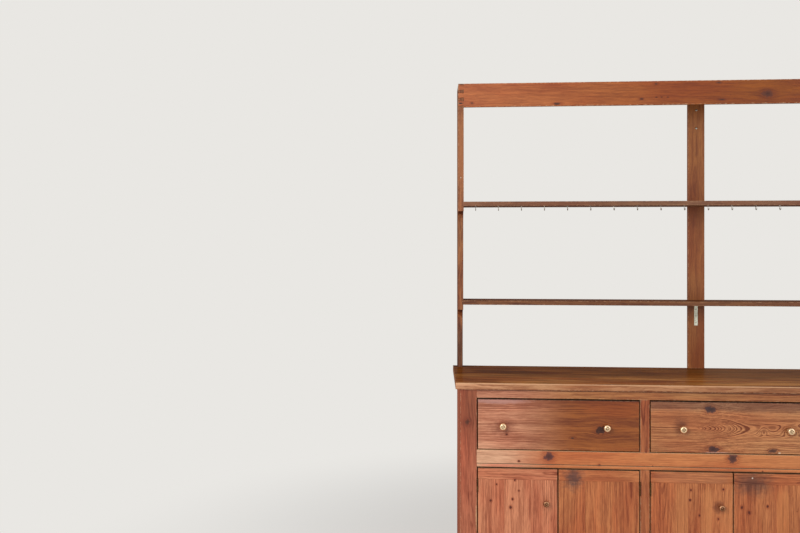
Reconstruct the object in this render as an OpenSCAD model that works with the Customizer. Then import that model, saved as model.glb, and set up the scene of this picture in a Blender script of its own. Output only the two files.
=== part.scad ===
// Fitted pine kitchen dresser: three bays of drawers over paired plank doors, a long
// worktop, and an open shelf frame that stands on the worktop against the wall.
// Millimetres. +X runs to the right along the front, +Y runs back to the wall, +Z is up.
// The origin is on the floor, at the centre of the overall box.

/* [Base cabinet] */
// Height of the worktop's upper face above the floor
worktop_z = 900; // [820:5:960]
// Depth of the worktop from the wall to its front edge
worktop_depth = 620; // [560:5:680]
// Thickness of the worktop
worktop_t = 29; // [22:1:40]
// How far the worktop runs past each end of the cabinet
end_overhang = 20; // [5:1:40]
// How far the worktop runs past the face frame
front_overhang = 12; // [4:1:25]
// Radius of the worktop's upper front edge
nosing_r = 5; // [2:0.5:9]

/* [Face frame] */
// Clear width of one bay, between its stiles
bay_w = 682; // [560:1:800]
// Width of the stile at each end
end_stile_w = 70; // [55:1:100]
// Width of the muntin between two bays
muntin_w = 38; // [34:1:60]
// Thickness of the face frame
frame_t = 24; // [22:1:32]
// Height of the top rail
top_rail_h = 36; // [25:1:60]
// Height of the drawer openings
drawer_open_h = 222; // [160:2:260]
// Height of the flat part of the middle rail
middle_rail_h = 56; // [40:1:80]
// Radius of the bead that runs under the middle rail
bead_r = 8.5; // [5:0.5:9]
// How far the bead stands out from the rail
bead_out = 4; // [2:0.5:4.5]
// Width and depth of the small groove above the bead
quirk_w = 2; // [1:0.5:3]
// Height of the bottom rail
bottom_rail_h = 95; // [70:1:130]
// Length of the tenons on the rails and muntins
tenon_l = 22; // [12:1:30]
// Thickness of the tenons
tenon_t = 8; // [6:0.5:10]
// Height of the shoulder above and below the tenons of a rail
tenon_shoulder = 8; // [4:1:12]
// Width of the shoulder at each side of the tenons of a muntin
muntin_shoulder = 6; // [4:1:10]

/* [Carcass] */
// Thickness of the two side panels
side_t = 20; // [16:1:26]
// Thickness of the two partitions
partition_t = 18; // [15:1:22]
// Thickness of the back boards
back_t = 10; // [8:1:16]
// Thickness of the cupboard floor
floor_t = 18; // [14:1:24]
// Depth of the grooves that hold floors and shelves
housing_d = 5; // [3:0.5:6]
// How far the runners reach in under the drawer sides
runner_in = 26; // [20:1:34]
// Thickness of the runners below the opening
runner_t = 22; // [16:1:30]
// Height of the guide that stands beside each drawer
guide_h = 34; // [20:1:60]
// Gap between the drawer sides and the kickers above them
kicker_gap = 5; // [5:0.5:10]

/* [Drawers] */
// Thickness of the drawer fronts
drawer_front_t = 22; // [18:1:22]
// Thickness of the drawer sides and back
drawer_side_t = 13; // [10:1:16]
// Thickness of the drawer bottoms
drawer_bottom_t = 6; // [5:0.5:9]
// Height of the drawer bottom above the lower edge of the sides
drawer_bottom_up = 10; // [8:1:16]
// How much lower the drawer sides are than the front
drawer_side_drop = 14; // [8:1:30]
// How much lower the drawer back is than the sides
drawer_back_drop = 8; // [0:1:20]
// Free space behind a closed drawer
drawer_back_gap = 48; // [20:1:80]
// Wood left in front of the lapped dovetails
dovetail_lap = 7; // [5:0.5:9]
// Number of tails on each corner of a drawer
drawer_tails = 4; // [2:1:5]
// Diameter of the drawer knobs
drawer_knob_d = 31; // [22:0.5:36]
// Distance that the drawer knobs stand out
drawer_knob_out = 28; // [24:0.5:40]
// Distance between the two knobs of a drawer
drawer_knob_pitch = 433; // [300:1:450]
// How far the knobs of the outer drawers are shifted toward the cabinet's ends
outer_knob_shift = 15; // [0:1:25]
// How far the knobs of the middle drawer are shifted to the right
middle_knob_shift = 10; // [0:1:25]
// How far the drawer knobs lie below the middle of the front
drawer_knob_low = 8; // [0:1:20]

/* [Doors] */
// Thickness of the door leaves
door_t = 20; // [16:1:22]
// Height of the clamps across the top and bottom of a door
clamp_h = 46; // [35:1:70]
// Number of upright boards in a door
door_boards = 3; // [2:1:5]
// Width of the lines where boards meet
joint_line = 1.6; // [1:0.1:3]
// Depth of the lines where boards meet
joint_line_d = 1.2; // [0.6:0.1:2]
// Length of the butt hinges
hinge_l = 56; // [40:1:76]
// Distance from the end of a door to its nearer hinge
hinge_in = 45; // [25:1:70]
// Diameter of the hinge knuckle
knuckle_d = 6; // [5:0.5:7]
// Diameter of the hinge pin
pin_d = 2.6; // [2:0.1:3]
// Thickness of the hinge plates
plate_t = 1.4; // [1:0.1:1.8]
// Distance from the hinge plates to the back of the leaf
plate_in = 4; // [2:0.5:8]
// Diameter of the door knobs
door_knob_d = 27; // [18:0.5:30]
// Distance that the door knobs stand out
door_knob_out = 24; // [20:0.5:30]
// Distance from the meeting edge to the door knob
door_knob_in = 47; // [28:1:80]
// Distance from the top of a door to its knob
door_knob_down = 143; // [80:1:220]

/* [Shelf frame] */
// Height of the shelf frame above the worktop
frame_h = 1330; // [1150:5:1500]
// Depth of the shelf frame at the fascia and the upper shelf
upper_depth = 240; // [210:2:300]
// Depth of the end boards at the lower shelf
lower_depth = 165; // [140:1:190]
// Depth of the end boards where they stand on the worktop
foot_depth = 75; // [60:1:90]
// Thickness of the end boards
end_board_t = 25; // [20:1:32]
// Height of the fascia
fascia_h = 108; // [80:1:130]
// Thickness of the fascia
fascia_t = 22; // [18:1:28]
// Thickness of the top board and both shelves
shelf_t = 20; // [16:1:26]
// How far the top board lies below the fascia's upper edge
top_board_down = 20; // [8:1:30]
// Height of the upper shelf's top face above the worktop
upper_shelf_z = 785; // [650:5:850]
// Height of the lower shelf's top face above the worktop
lower_shelf_z = 324; // [240:2:420]
// Straight part of the end boards below each shelf
step_drop = 24; // [15:1:40]
// Radius of the hollow under each step of the end boards
hollow_r = 50; // [30:1:60]
// Width of the middle post
post_w = 76; // [60:1:100]
// Thickness of the middle post
post_t = 22; // [16:1:30]
// How far the middle post stands to the left of the cabinet's middle
post_shift = 8; // [0:1:20]
// Number of full pins in the corner of the fascia
fascia_pins = 2; // [1:1:3]
// Width of a pin at the narrow end
pin_w = 9; // [6:0.5:12]

/* [Cup hooks] */
// Distance between two cup hooks
hook_pitch = 105; // [80:1:140]
// Distance from the shelf's front edge to the hooks
hook_in = 38; // [25:1:60]
// Radius of the bend of a cup hook
hook_r = 9; // [7:0.5:12]
// Diameter of the hook wire
hook_wire = 3; // [2.5:0.1:4]
// Length of the straight shank of a cup hook
hook_shank = 12; // [8:1:18]

/* [Clearances] */
// Gap round drawer fronts and doors
run_gap = 5; // [5:0.5:6]
// Gap between the two doors of a bay
meet_gap = 6; // [6:0.5:8]
// Gap between a drawer side and its runner
slide_fit = 0.3; // [0.3:0.1:0.6]
// Gap inside glued and housed joints
joint_fit = 0.2; // [0.1:0.05:0.4]
// Gap between the parts of a hinge
hinge_fit = 0.3; // [0.3:0.05:0.4]

/* [Hidden] */
BAYS = 3;
TAIL_SLOPE = 1 / 7;
BEVEL = 1;
PINE = "#b5713f";
DARK_PINE = "#96552b";
BRASS = "#c9a44c";
STEEL = "#8a857c";

carcass_w = BAYS * bay_w + (BAYS - 1) * muntin_w + 2 * end_stile_w;
total_w = carcass_w + 2 * end_overhang;
total_depth = worktop_depth + max(0, drawer_knob_out - front_overhang);
x_left = -carcass_w / 2;
y_wall = total_depth / 2;
y_edge = y_wall - worktop_depth;
y_face = y_edge + front_overhang;
y_inner = y_face + frame_t;
y_back = y_wall - back_t;

z_under = worktop_z - worktop_t;
z_drawer_top = z_under - top_rail_h;
z_drawer_bottom = z_drawer_top - drawer_open_h;
z_bead = z_drawer_bottom - middle_rail_h;
bead_h = 2 * bead_r;
z_door_top = z_bead - bead_h;

drawer_w = bay_w - 2 * run_gap;
drawer_h = drawer_open_h - 2 * run_gap;
drawer_side_h = drawer_h - drawer_side_drop;
drawer_l = y_back - drawer_back_gap - y_face;
z_drawer = z_drawer_bottom + run_gap;
tail_l = drawer_front_t - dovetail_lap;

door_w = (bay_w - 2 * run_gap - meet_gap) / 2;
door_h = z_door_top - bottom_rail_h - 2 * run_gap;
z_door = bottom_rail_h + run_gap;
y_pin = y_face - knuckle_d / 2;
knuckle_l = hinge_l / 3;

z_frame_top = worktop_z + frame_h;
z_fascia = z_frame_top - fascia_h;
z_top_board = z_frame_top - top_board_down - shelf_t;
z_upper = worktop_z + upper_shelf_z - shelf_t;
z_lower = worktop_z + lower_shelf_z - shelf_t;
y_upper = y_wall - upper_depth;
y_fascia_back = y_upper + fascia_t;
shelf_w = carcass_w - 2 * end_board_t + 2 * housing_d - 2 * joint_fit;
post_left = -post_shift - post_w / 2;
post_right = -post_shift + post_w / 2;

hook_count = floor((carcass_w - 2 * end_board_t - hook_pitch) / hook_pitch) + 1;

// Left edge of a bay's opening
function bay_x(bay) = x_left + end_stile_w + bay * (bay_w + muntin_w);

// Centre line of the muntin to the right of a bay
function muntin_x(bay) = bay_x(bay) + bay_w + muntin_w / 2;

// Faces of the panels that close a bay behind the face frame
function inner_left(bay) = bay == 0 ? x_left + side_t : muntin_x(bay - 1) + partition_t / 2;
function inner_right(bay) = bay == BAYS - 1 ? -x_left - side_t : muntin_x(bay) - partition_t / 2;

// A block given by its two corners
module block(low, high) {
    translate(low) cube([high[0] - low[0], high[1] - low[1], high[2] - low[2]]);
}

// Turns a drawing of depth and height into a solid that runs along X
module along_x(x, length) {
    translate([x, 0, 0])
        rotate([90, 0, 90]) linear_extrude(height = length) children();
}

// Turns a drawing of width and height into a solid that runs back along Y
module along_y(y, length) {
    translate([0, y + length, 0])
        rotate([90, 0, 0]) linear_extrude(height = length) children();
}

// Copies a piece of the left end to the right end
module at_right() {
    mirror([1, 0, 0]) children();
}

// Base cabinet

module worktop() {
    color(DARK_PINE) along_x(-total_w / 2, total_w) difference() {
        translate([y_edge, z_under]) square([worktop_depth, worktop_t]);
        translate([y_edge, worktop_z - nosing_r]) difference() {
            translate([-1, 0]) square([nosing_r + 1, nosing_r + 1]);
            translate([nosing_r, 0]) circle(r = nosing_r, $fn = 48);
        }
    }
}

// Groove that takes the end of a cupboard floor
module floor_groove(x) {
    block([x, y_inner - 1, bottom_rail_h - floor_t - joint_fit],
          [x + housing_d, y_back + 1, bottom_rail_h + joint_fit]);
}

module side_panel() {
    color(PINE) difference() {
        block([x_left, y_inner, 0], [x_left + side_t, y_wall, z_under]);
        intersection() {
            floor_groove(x_left + side_t - housing_d);
            block([x_left, y_inner - 1, 0], [x_left + 2 * side_t, y_back, z_under]);
        }
    }
}

module partition(bay) {
    color(PINE) difference() {
        block([muntin_x(bay) - partition_t / 2, y_inner, 0],
              [muntin_x(bay) + partition_t / 2, y_back, z_under]);
        floor_groove(muntin_x(bay) - partition_t / 2);
        floor_groove(muntin_x(bay) + partition_t / 2 - housing_d);
    }
}

module back_panel() {
    color(PINE) block([x_left + side_t, y_back, 0], [-x_left - side_t, y_wall, z_under]);
}

module cupboard_floor() {
    color(PINE) for (bay = [0 : BAYS - 1]) {
        block([inner_left(bay) - housing_d + joint_fit, y_inner, bottom_rail_h - floor_t],
              [inner_right(bay) + housing_d - joint_fit, y_back, bottom_rail_h]);
    }
}

// Bearer, guide and kicker at one side of a drawer, from the panel face to the drawer
module runner(panel_x, opening_x, inward) {
    reach = opening_x + inward * runner_in;
    top = z_drawer - slide_fit;
    kicker = z_drawer + drawer_side_h + kicker_gap;
    block([min(panel_x, reach), y_inner, z_drawer_bottom - runner_t],
          [max(panel_x, reach), y_back, top]);
    block([min(panel_x, opening_x), y_inner, top],
          [max(panel_x, opening_x), y_back, top + guide_h]);
    block([min(panel_x, reach), y_inner + run_gap, kicker],
          [max(panel_x, reach), y_back, z_under]);
}

module drawer_runners() {
    color(PINE) for (bay = [0 : BAYS - 1]) {
        runner(inner_left(bay), bay_x(bay), 1);
        runner(inner_right(bay), bay_x(bay) + bay_w, -1);
    }
}

// Face frame

// Tenon on the left end of a rail or its slot in the stile, grown by a clearance
module tenon(x, z_low, z_high, grow) {
    middle = y_face + frame_t / 2;
    shoulder = min(tenon_shoulder, (z_high - z_low) / 4);
    block([x - tenon_l - grow, middle - tenon_t / 2 - grow, z_low + shoulder - grow],
          [x + 1, middle + tenon_t / 2 + grow, z_high - shoulder + grow]);
}

module end_stile() {
    inner = x_left + end_stile_w;
    color(PINE) difference() {
        block([x_left, y_face, 0], [inner, y_inner, z_under]);
        tenon(inner, z_drawer_top, z_under, joint_fit);
        tenon(inner, z_door_top, z_drawer_bottom, joint_fit);
        tenon(inner, 0, bottom_rail_h, joint_fit);
    }
}

module rail_body(z_low, z_high) {
    block([x_left + end_stile_w, y_face, z_low], [-x_left - end_stile_w, y_inner, z_high]);
    tenon(x_left + end_stile_w, z_low, z_high, 0);
    at_right() tenon(x_left + end_stile_w, z_low, z_high, 0);
}

// Upright tenon at one end of a muntin or its slot in the rail, grown by a clearance
module muntin_tenon(bay, z, up, grow) {
    middle = y_face + frame_t / 2;
    half = muntin_w / 2 - muntin_shoulder;
    length = min(tenon_l, top_rail_h / 2);
    block([muntin_x(bay) - half - grow, middle - tenon_t / 2 - grow, z - (up ? 1 : length + grow)],
          [muntin_x(bay) + half + grow, middle + tenon_t / 2 + grow, z + (up ? length + grow : 1)]);
}

module top_rail() {
    color(PINE) difference() {
        rail_body(z_drawer_top, z_under);
        for (bay = [0 : BAYS - 2]) muntin_tenon(bay, z_drawer_top, true, joint_fit);
    }
}

// Middle rail with a bead along its lower edge and a small groove above the bead
module middle_rail() {
    color(PINE) difference() {
        union() {
            difference() {
                rail_body(z_door_top, z_drawer_bottom);
                along_x(x_left, carcass_w) {
                    translate([y_face - 1, z_bead - quirk_w]) square([1 + quirk_w, quirk_w]);
                    translate([y_face - 1, z_door_top - 1])
                        square([1 + bead_r - bead_out, bead_r + 1]);
                }
            }
            along_x(x_left + end_stile_w, carcass_w - 2 * end_stile_w)
                translate([y_face - bead_out + bead_r, z_door_top + bead_r])
                    circle(r = bead_r, $fn = 48);
        }
        for (bay = [0 : BAYS - 2]) {
            muntin_tenon(bay, z_drawer_bottom, false, joint_fit);
            muntin_tenon(bay, z_door_top, true, joint_fit);
        }
    }
}

module bottom_rail() {
    color(PINE) difference() {
        rail_body(0, bottom_rail_h);
        for (bay = [0 : BAYS - 2]) muntin_tenon(bay, bottom_rail_h, false, joint_fit);
    }
}

module muntin(bay, z_low, z_high) {
    color(PINE) {
        block([muntin_x(bay) - muntin_w / 2, y_face, z_low],
              [muntin_x(bay) + muntin_w / 2, y_inner, z_high]);
        muntin_tenon(bay, z_low, false, 0);
        muntin_tenon(bay, z_high, true, 0);
    }
}

module drawer_muntin(bay) {
    muntin(bay, z_drawer_bottom, z_drawer_top);
}

module door_muntin(bay) {
    muntin(bay, bottom_rail_h, z_door_top);
}

// Round knob that stands out along -Y from a face
module knob(x, y, z, d, out) {
    head_r = d / 2;
    head_t = d * 0.62;
    stem_r = d * 0.2;
    rose_r = d * 0.36;
    color(BRASS) translate([x, y, z]) rotate([90, 0, 0]) rotate_extrude($fn = 64) {
        intersection() {
            square([head_r, out]);
            union() {
                translate([0, out - head_t / 2]) intersection() {
                    circle(r = head_r, $fn = 64);
                    translate([-d, -head_t / 2]) square([2 * d, head_t]);
                }
                square([stem_r, out - head_t / 2]);
                square([rose_r, 2.5]);
            }
        }
    }
}

// Drawers

// One tail of a lapped dovetail, seen from the side of the drawer
module tail_shape(z_mid, half, grow) {
    root = half - tail_l * TAIL_SLOPE;
    y_root = y_face + drawer_front_t;
    polygon([
        [y_root + 1, z_mid - root - grow],
        [y_root, z_mid - root - grow],
        [y_face + dovetail_lap - grow, z_mid - half - grow],
        [y_face + dovetail_lap - grow, z_mid + half + grow],
        [y_root, z_mid + root + grow],
        [y_root + 1, z_mid + root + grow]
    ]);
}

// All the tails of one corner, from the outer face of the drawer side inward
module tails(x, grow) {
    pitch = drawer_side_h / drawer_tails;
    half = pitch * 0.36;
    along_x(x, drawer_side_t + grow) for (i = [0 : drawer_tails - 1])
        tail_shape(z_drawer + pitch * (i + 0.5), half, grow);
}

module drawer_front(bay) {
    x = bay_x(bay) + run_gap;
    color(PINE) difference() {
        block([x, y_face, z_drawer], [x + drawer_w, y_face + drawer_front_t, z_drawer + drawer_h]);
        translate([-1, 0, 0]) tails(x, joint_fit);
        tails(x, joint_fit);
        tails(x + drawer_w - drawer_side_t - joint_fit, joint_fit);
        translate([1, 0, 0]) tails(x + drawer_w - drawer_side_t, joint_fit);
        block([x + drawer_side_t, y_face + drawer_front_t - housing_d,
               z_drawer + drawer_bottom_up - joint_fit],
              [x + drawer_w - drawer_side_t, y_face + drawer_front_t + 1,
               z_drawer + drawer_bottom_up + drawer_bottom_t + joint_fit]);
    }
}

module drawer_side(x) {
    y_joint = y_face + drawer_front_t + joint_fit;
    block([x, y_joint, z_drawer], [x + drawer_side_t, y_face + drawer_l, z_drawer + drawer_side_h]);
    intersection() {
        tails(x, 0);
        block([x, y_face, z_drawer], [x + drawer_side_t, y_joint + joint_fit, z_drawer + drawer_side_h]);
    }
}

module drawer_box(bay) {
    x = bay_x(bay) + run_gap;
    inner_l = x + drawer_side_t;
    inner_r = x + drawer_w - drawer_side_t;
    z_bottom = z_drawer + drawer_bottom_up;
    color(PINE) {
        drawer_side(x);
        drawer_side(inner_r);
        block([inner_l, y_face + drawer_l - drawer_side_t, z_bottom],
              [inner_r, y_face + drawer_l, z_drawer + drawer_side_h - drawer_back_drop]);
        block([inner_l, y_face + drawer_front_t - housing_d + joint_fit, z_bottom],
              [inner_r, y_face + drawer_l, z_bottom + drawer_bottom_t]);
    }
}

module drawer_knobs(bay) {
    shifts = [-outer_knob_shift, middle_knob_shift, outer_knob_shift];
    middle = bay_x(bay) + bay_w / 2 + shifts[bay];
    z = z_drawer + drawer_h / 2 - drawer_knob_low;
    for (side = [-1, 1])
        knob(middle + side * drawer_knob_pitch / 2, y_face, z, drawer_knob_d, drawer_knob_out);
}

// Doors, drawn in a frame with the hinged edge at x = 0 and the leaf running to +X

module leaf_solid() {
    translate([0, 0, z_door]) linear_extrude(height = door_h) polygon([
        [0, y_face], [door_w, y_face], [door_w, y_face + BEVEL],
        [door_w - BEVEL, y_face + door_t], [0, y_face + door_t]
    ]);
}

module joint_lines() {
    board_w = door_w / door_boards;
    low = z_door + clamp_h;
    high = z_door + door_h - clamp_h;
    for (i = [1 : door_boards - 1])
        block([i * board_w - joint_line / 2, y_face - 1, low],
              [i * board_w + joint_line / 2, y_face + joint_line_d, high]);
    for (z = [low, high])
        block([-1, y_face - 1, z - joint_line / 2],
              [door_w + 1, y_face + joint_line_d, z + joint_line / 2]);
}

module leaf() {
    color(PINE) difference() {
        leaf_solid();
        joint_lines();
    }
}

// Heights of the lower ends of a door's two hinges
function hinge_zs() = [z_door + hinge_in, z_door + door_h - hinge_in - hinge_l];

// Plate of a hinge, from the knuckle back into the gap beside the door
module plate(x, z) {
    block([x, y_pin, z], [x + plate_t, y_face + door_t - plate_in, z + hinge_l]);
}

module knuckle(z, length) {
    translate([-run_gap / 2, y_pin, z]) cylinder(d = knuckle_d, h = length, $fn = 40);
}

// Room that the fixed knuckles need in the moving plate, and the other way round
module knuckle_room(z, length) {
    translate([-run_gap / 2, y_pin, z])
        cylinder(d = knuckle_d + 2 * hinge_fit, h = length, $fn = 40);
}

module moving_hinge_half(z) {
    z_mid = z + knuckle_l + hinge_fit;
    mid_l = knuckle_l - 2 * hinge_fit;
    difference() {
        union() {
            difference() {
                plate(-plate_t, z);
                knuckle_room(z - 1, knuckle_l + 1 + hinge_fit);
                knuckle_room(z + 2 * knuckle_l - hinge_fit, knuckle_l + 1 + hinge_fit);
            }
            knuckle(z_mid, mid_l);
        }
        translate([-run_gap / 2, y_pin, z - 1])
            cylinder(d = pin_d + 2 * hinge_fit, h = hinge_l + 2, $fn = 32);
    }
}

module fixed_hinge_half(z) {
    difference() {
        union() {
            plate(-run_gap, z);
            knuckle(z, knuckle_l);
            knuckle(z + 2 * knuckle_l, knuckle_l);
        }
        knuckle_room(z + knuckle_l, knuckle_l);
    }
    translate([-run_gap / 2, y_pin, z]) cylinder(d = pin_d, h = hinge_l, $fn = 32);
}

// Puts a piece drawn for a left-hung door in its place, with odd doors hung at the left
module hang(door) {
    bay = floor((door - 1) / 2);
    if (door % 2 == 1) {
        translate([bay_x(bay) + run_gap, 0, 0]) children();
    } else {
        translate([bay_x(bay) + bay_w - run_gap, 0, 0]) mirror([1, 0, 0]) children();
    }
}

module door_leaf(door) {
    hang(door) leaf();
}

module door_hinges(door) {
    color(BRASS) hang(door) for (z = hinge_zs()) moving_hinge_half(z);
}

module door_knob(door) {
    hang(door) knob(door_w - door_knob_in, y_face, z_door + door_h - door_knob_down,
                    door_knob_d, door_knob_out);
}

module frame_hinges() {
    color(BRASS) for (door = [1 : 2 * BAYS]) hang(door)
        for (z = hinge_zs()) fixed_hinge_half(z);
}

// Shelf frame

// Pins of the corner joint, seen from the front, from the outer end inward
module pin_shapes(grow) {
    flare = end_board_t * TAIL_SLOPE;
    pitch = fascia_h / (fascia_pins + 1);
    for (i = [0 : fascia_pins + 1]) {
        z = z_fascia + i * pitch;
        polygon([
            [x_left - 1, z - pin_w / 2 - grow],
            [x_left + end_board_t + grow, z - pin_w / 2 - flare - grow],
            [x_left + end_board_t + grow, z + pin_w / 2 + flare + grow],
            [x_left - 1, z + pin_w / 2 + grow]
        ]);
    }
}

module end_pins() {
    intersection() {
        along_y(y_upper, fascia_t + 1) pin_shapes(0);
        block([x_left, y_upper, z_fascia], [x_left + end_board_t, y_fascia_back + 1, z_frame_top]);
    }
}

// Hollow that carries the front edge of an end board back under a step
module hollow(depth, z) {
    translate([y_wall - depth - hollow_r, z - hollow_r]) difference() {
        square([hollow_r, hollow_r]);
        circle(r = hollow_r, $fn = 64);
    }
}

// Outline of an end board, as depth and height
module end_outline() {
    z_mid = z_lower - step_drop;
    z_high = z_upper - step_drop;
    translate([y_wall - foot_depth, worktop_z]) square([foot_depth, frame_h]);
    translate([y_wall - lower_depth, z_mid]) square([lower_depth, z_frame_top - z_mid]);
    translate([y_wall - upper_depth, z_high]) square([upper_depth, z_fascia - z_high]);
    translate([y_fascia_back, z_high])
        square([upper_depth - fascia_t, z_frame_top - z_high]);
    hollow(foot_depth, z_mid);
    hollow(lower_depth, z_high);
}

module shelf_groove(z) {
    block([x_left + end_board_t - housing_d, y_upper - 1, z - joint_fit],
          [x_left + end_board_t + 1, y_wall + 1, z + shelf_t + joint_fit]);
}

module end_board() {
    color(PINE) difference() {
        union() {
            along_x(x_left, end_board_t) end_outline();
            end_pins();
        }
        intersection() {
            union() {
                shelf_groove(z_upper);
                shelf_groove(z_lower);
            }
            block([x_left, y_upper - 1, worktop_z], [0, y_wall + 1, z_fascia]);
        }
        intersection() {
            shelf_groove(z_top_board);
            block([x_left, y_fascia_back, worktop_z], [0, y_wall + 1, z_frame_top]);
        }
    }
}

module middle_post() {
    color(DARK_PINE) block([post_left, y_wall - post_t, worktop_z],
                           [post_right, y_wall, z_top_board]);
}

module fascia() {
    color(DARK_PINE) difference() {
        block([x_left, y_upper, z_fascia], [-x_left, y_fascia_back, z_frame_top]);
        along_y(y_upper - 1, fascia_t + 2) pin_shapes(joint_fit);
        at_right() along_y(y_upper - 1, fascia_t + 2) pin_shapes(joint_fit);
    }
}

module top_board() {
    color(PINE) block([-shelf_w / 2, y_fascia_back, z_top_board],
                      [shelf_w / 2, y_wall, z_top_board + shelf_t]);
}

// Shelf housed in the end boards and notched round the middle post
module shelf(depth, z) {
    color(PINE) difference() {
        block([-shelf_w / 2, y_wall - depth, z], [shelf_w / 2, y_wall, z + shelf_t]);
        block([post_left - joint_fit, y_wall - post_t - joint_fit, z - 1],
              [post_right + joint_fit, y_wall + 1, z + shelf_t + 1]);
    }
}

module upper_shelf() {
    shelf(upper_depth, z_upper);
}

module lower_shelf() {
    shelf(lower_depth, z_lower);
}

// One cup hook below z = 0, with the bend turned to the front
module cup_hook() {
    plate_h = 1.5;
    translate([0, 0, -plate_h]) cylinder(r = hook_wire * 1.6, h = plate_h, $fn = 32);
    translate([0, 0, -hook_shank]) cylinder(d = hook_wire, h = hook_shank, $fn = 24);
    translate([0, -hook_r, -hook_shank]) rotate([90, 0, 90])
        rotate([0, 0, 180]) rotate_extrude(angle = 180, $fn = 48)
            translate([hook_r, 0]) circle(d = hook_wire, $fn = 24);
    translate([0, -2 * hook_r, -hook_shank]) sphere(d = hook_wire, $fn = 24);
}

module cup_hooks() {
    first = -(hook_count - 1) * hook_pitch / 2;
    color(STEEL) for (i = [0 : hook_count - 1])
        translate([first + i * hook_pitch, y_upper + hook_in, z_upper]) cup_hook();
}

worktop();
side_panel();  // left_side_panel
at_right() side_panel();  // right_side_panel
partition(0);  // left_partition
partition(1);  // right_partition
back_panel();
cupboard_floor();
drawer_runners();
end_stile();  // left_end_stile
at_right() end_stile();  // right_end_stile
top_rail();
middle_rail();
bottom_rail();
drawer_muntin(0);  // left_drawer_muntin
drawer_muntin(1);  // right_drawer_muntin
door_muntin(0);  // left_door_muntin
door_muntin(1);  // right_door_muntin
frame_hinges();
drawer_front(0);  // drawer_1_front
drawer_box(0);  // drawer_1_box
drawer_knobs(0);  // drawer_1_knobs
drawer_front(1);  // drawer_2_front
drawer_box(1);  // drawer_2_box
drawer_knobs(1);  // drawer_2_knobs
drawer_front(2);  // drawer_3_front
drawer_box(2);  // drawer_3_box
drawer_knobs(2);  // drawer_3_knobs
door_leaf(1);  // door_1_leaf
door_hinges(1);  // door_1_hinges
door_knob(1);  // door_1_knob
door_leaf(2);  // door_2_leaf
door_hinges(2);  // door_2_hinges
door_leaf(3);  // door_3_leaf
door_hinges(3);  // door_3_hinges
door_knob(3);  // door_3_knob
door_leaf(4);  // door_4_leaf
door_hinges(4);  // door_4_hinges
door_leaf(5);  // door_5_leaf
door_hinges(5);  // door_5_hinges
door_knob(5);  // door_5_knob
door_leaf(6);  // door_6_leaf
door_hinges(6);  // door_6_hinges
end_board();  // left_end_board
at_right() end_board();  // right_end_board
middle_post();
fascia();
top_board();
upper_shelf();
lower_shelf();
cup_hooks();
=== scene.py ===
"""Looks of a fitted pine kitchen dresser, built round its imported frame."""

from __future__ import annotations

import logging
import math
import random
from collections.abc import Callable, Iterable, Sequence
from dataclasses import dataclass, replace
from enum import Enum
from functools import reduce

import bmesh
import bpy
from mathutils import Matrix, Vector, noise

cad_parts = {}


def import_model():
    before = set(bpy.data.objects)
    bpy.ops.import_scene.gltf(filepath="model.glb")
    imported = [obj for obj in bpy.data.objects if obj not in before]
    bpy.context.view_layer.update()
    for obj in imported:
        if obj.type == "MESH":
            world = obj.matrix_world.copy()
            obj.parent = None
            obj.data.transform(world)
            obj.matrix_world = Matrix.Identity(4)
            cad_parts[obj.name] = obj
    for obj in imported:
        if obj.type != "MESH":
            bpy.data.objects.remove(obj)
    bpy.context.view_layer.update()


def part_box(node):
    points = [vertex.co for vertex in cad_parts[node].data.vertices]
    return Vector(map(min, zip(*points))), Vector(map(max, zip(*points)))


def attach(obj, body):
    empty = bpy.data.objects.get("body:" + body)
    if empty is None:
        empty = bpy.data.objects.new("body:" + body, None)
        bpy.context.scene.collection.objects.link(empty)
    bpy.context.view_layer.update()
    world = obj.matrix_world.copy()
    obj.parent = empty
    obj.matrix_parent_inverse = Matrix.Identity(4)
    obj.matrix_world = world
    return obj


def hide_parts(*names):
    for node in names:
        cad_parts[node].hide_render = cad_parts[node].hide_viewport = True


MM = 0.001
LOG = logging.getLogger("dresser")
Socket = bpy.types.NodeSocket
Outputs = bpy.types.NodeOutputs


def tint(code: str) -> tuple[float, float, float, float]:
    """Turn a written colour such as b5713f into the linear colour that shaders take.

    Args:
        code: Six hexadecimal digits, two each for red, green and blue.

    Returns:
        Linear red, green and blue with full opacity.
    """
    parts = [int(code[i:i + 2], 16) / 255 for i in (0, 2, 4)]
    line = [p / 12.92 if p <= 0.04045 else ((p + 0.055) / 1.055) ** 2.4 for p in parts]
    return (line[0], line[1], line[2], 1.0)


@dataclass(frozen=True)
class Box:
    """A block of space between its lowest and highest corners, in metres."""

    low: Vector
    high: Vector

    @classmethod
    def of(cls, node: str) -> Box:
        """Measure the block that a CAD node fills at rest."""
        return cls(*(Vector(corner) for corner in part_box(node)))

    @property
    def size(self) -> Vector:
        """Lengths of the three sides."""
        return self.high - self.low

    @property
    def centre(self) -> Vector:
        """Middle point."""
        return (self.low + self.high) / 2

    def limited(self, axis: int, low: float | None = None, high: float | None = None) -> Box:
        """Move one or both ends of the block along an axis.

        Args:
            axis: 0, 1 or 2 for X, Y or Z.
            low: New lower end, or None to keep it.
            high: New upper end, or None to keep it.

        Returns:
            The changed block.
        """
        new_low, new_high = self.low.copy(), self.high.copy()
        if low is not None:
            new_low[axis] = low
        if high is not None:
            new_high[axis] = high
        return Box(new_low, new_high)

    def shares(self, axis: int, shares: Sequence[float], gap: float) -> list[Box]:
        """Split the block into boards side by side.

        Args:
            axis: Axis that crosses the boards.
            shares: Relative width of each board.
            gap: Open line between two boards.

        Returns:
            One block for each share, in order.
        """
        room = self.size[axis] - gap * (len(shares) - 1)
        start = self.low[axis]
        boards = []
        for share in shares:
            end = start + room * share / sum(shares)
            boards.append(self.limited(axis, start, end))
            start = end + gap
        return boards


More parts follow.
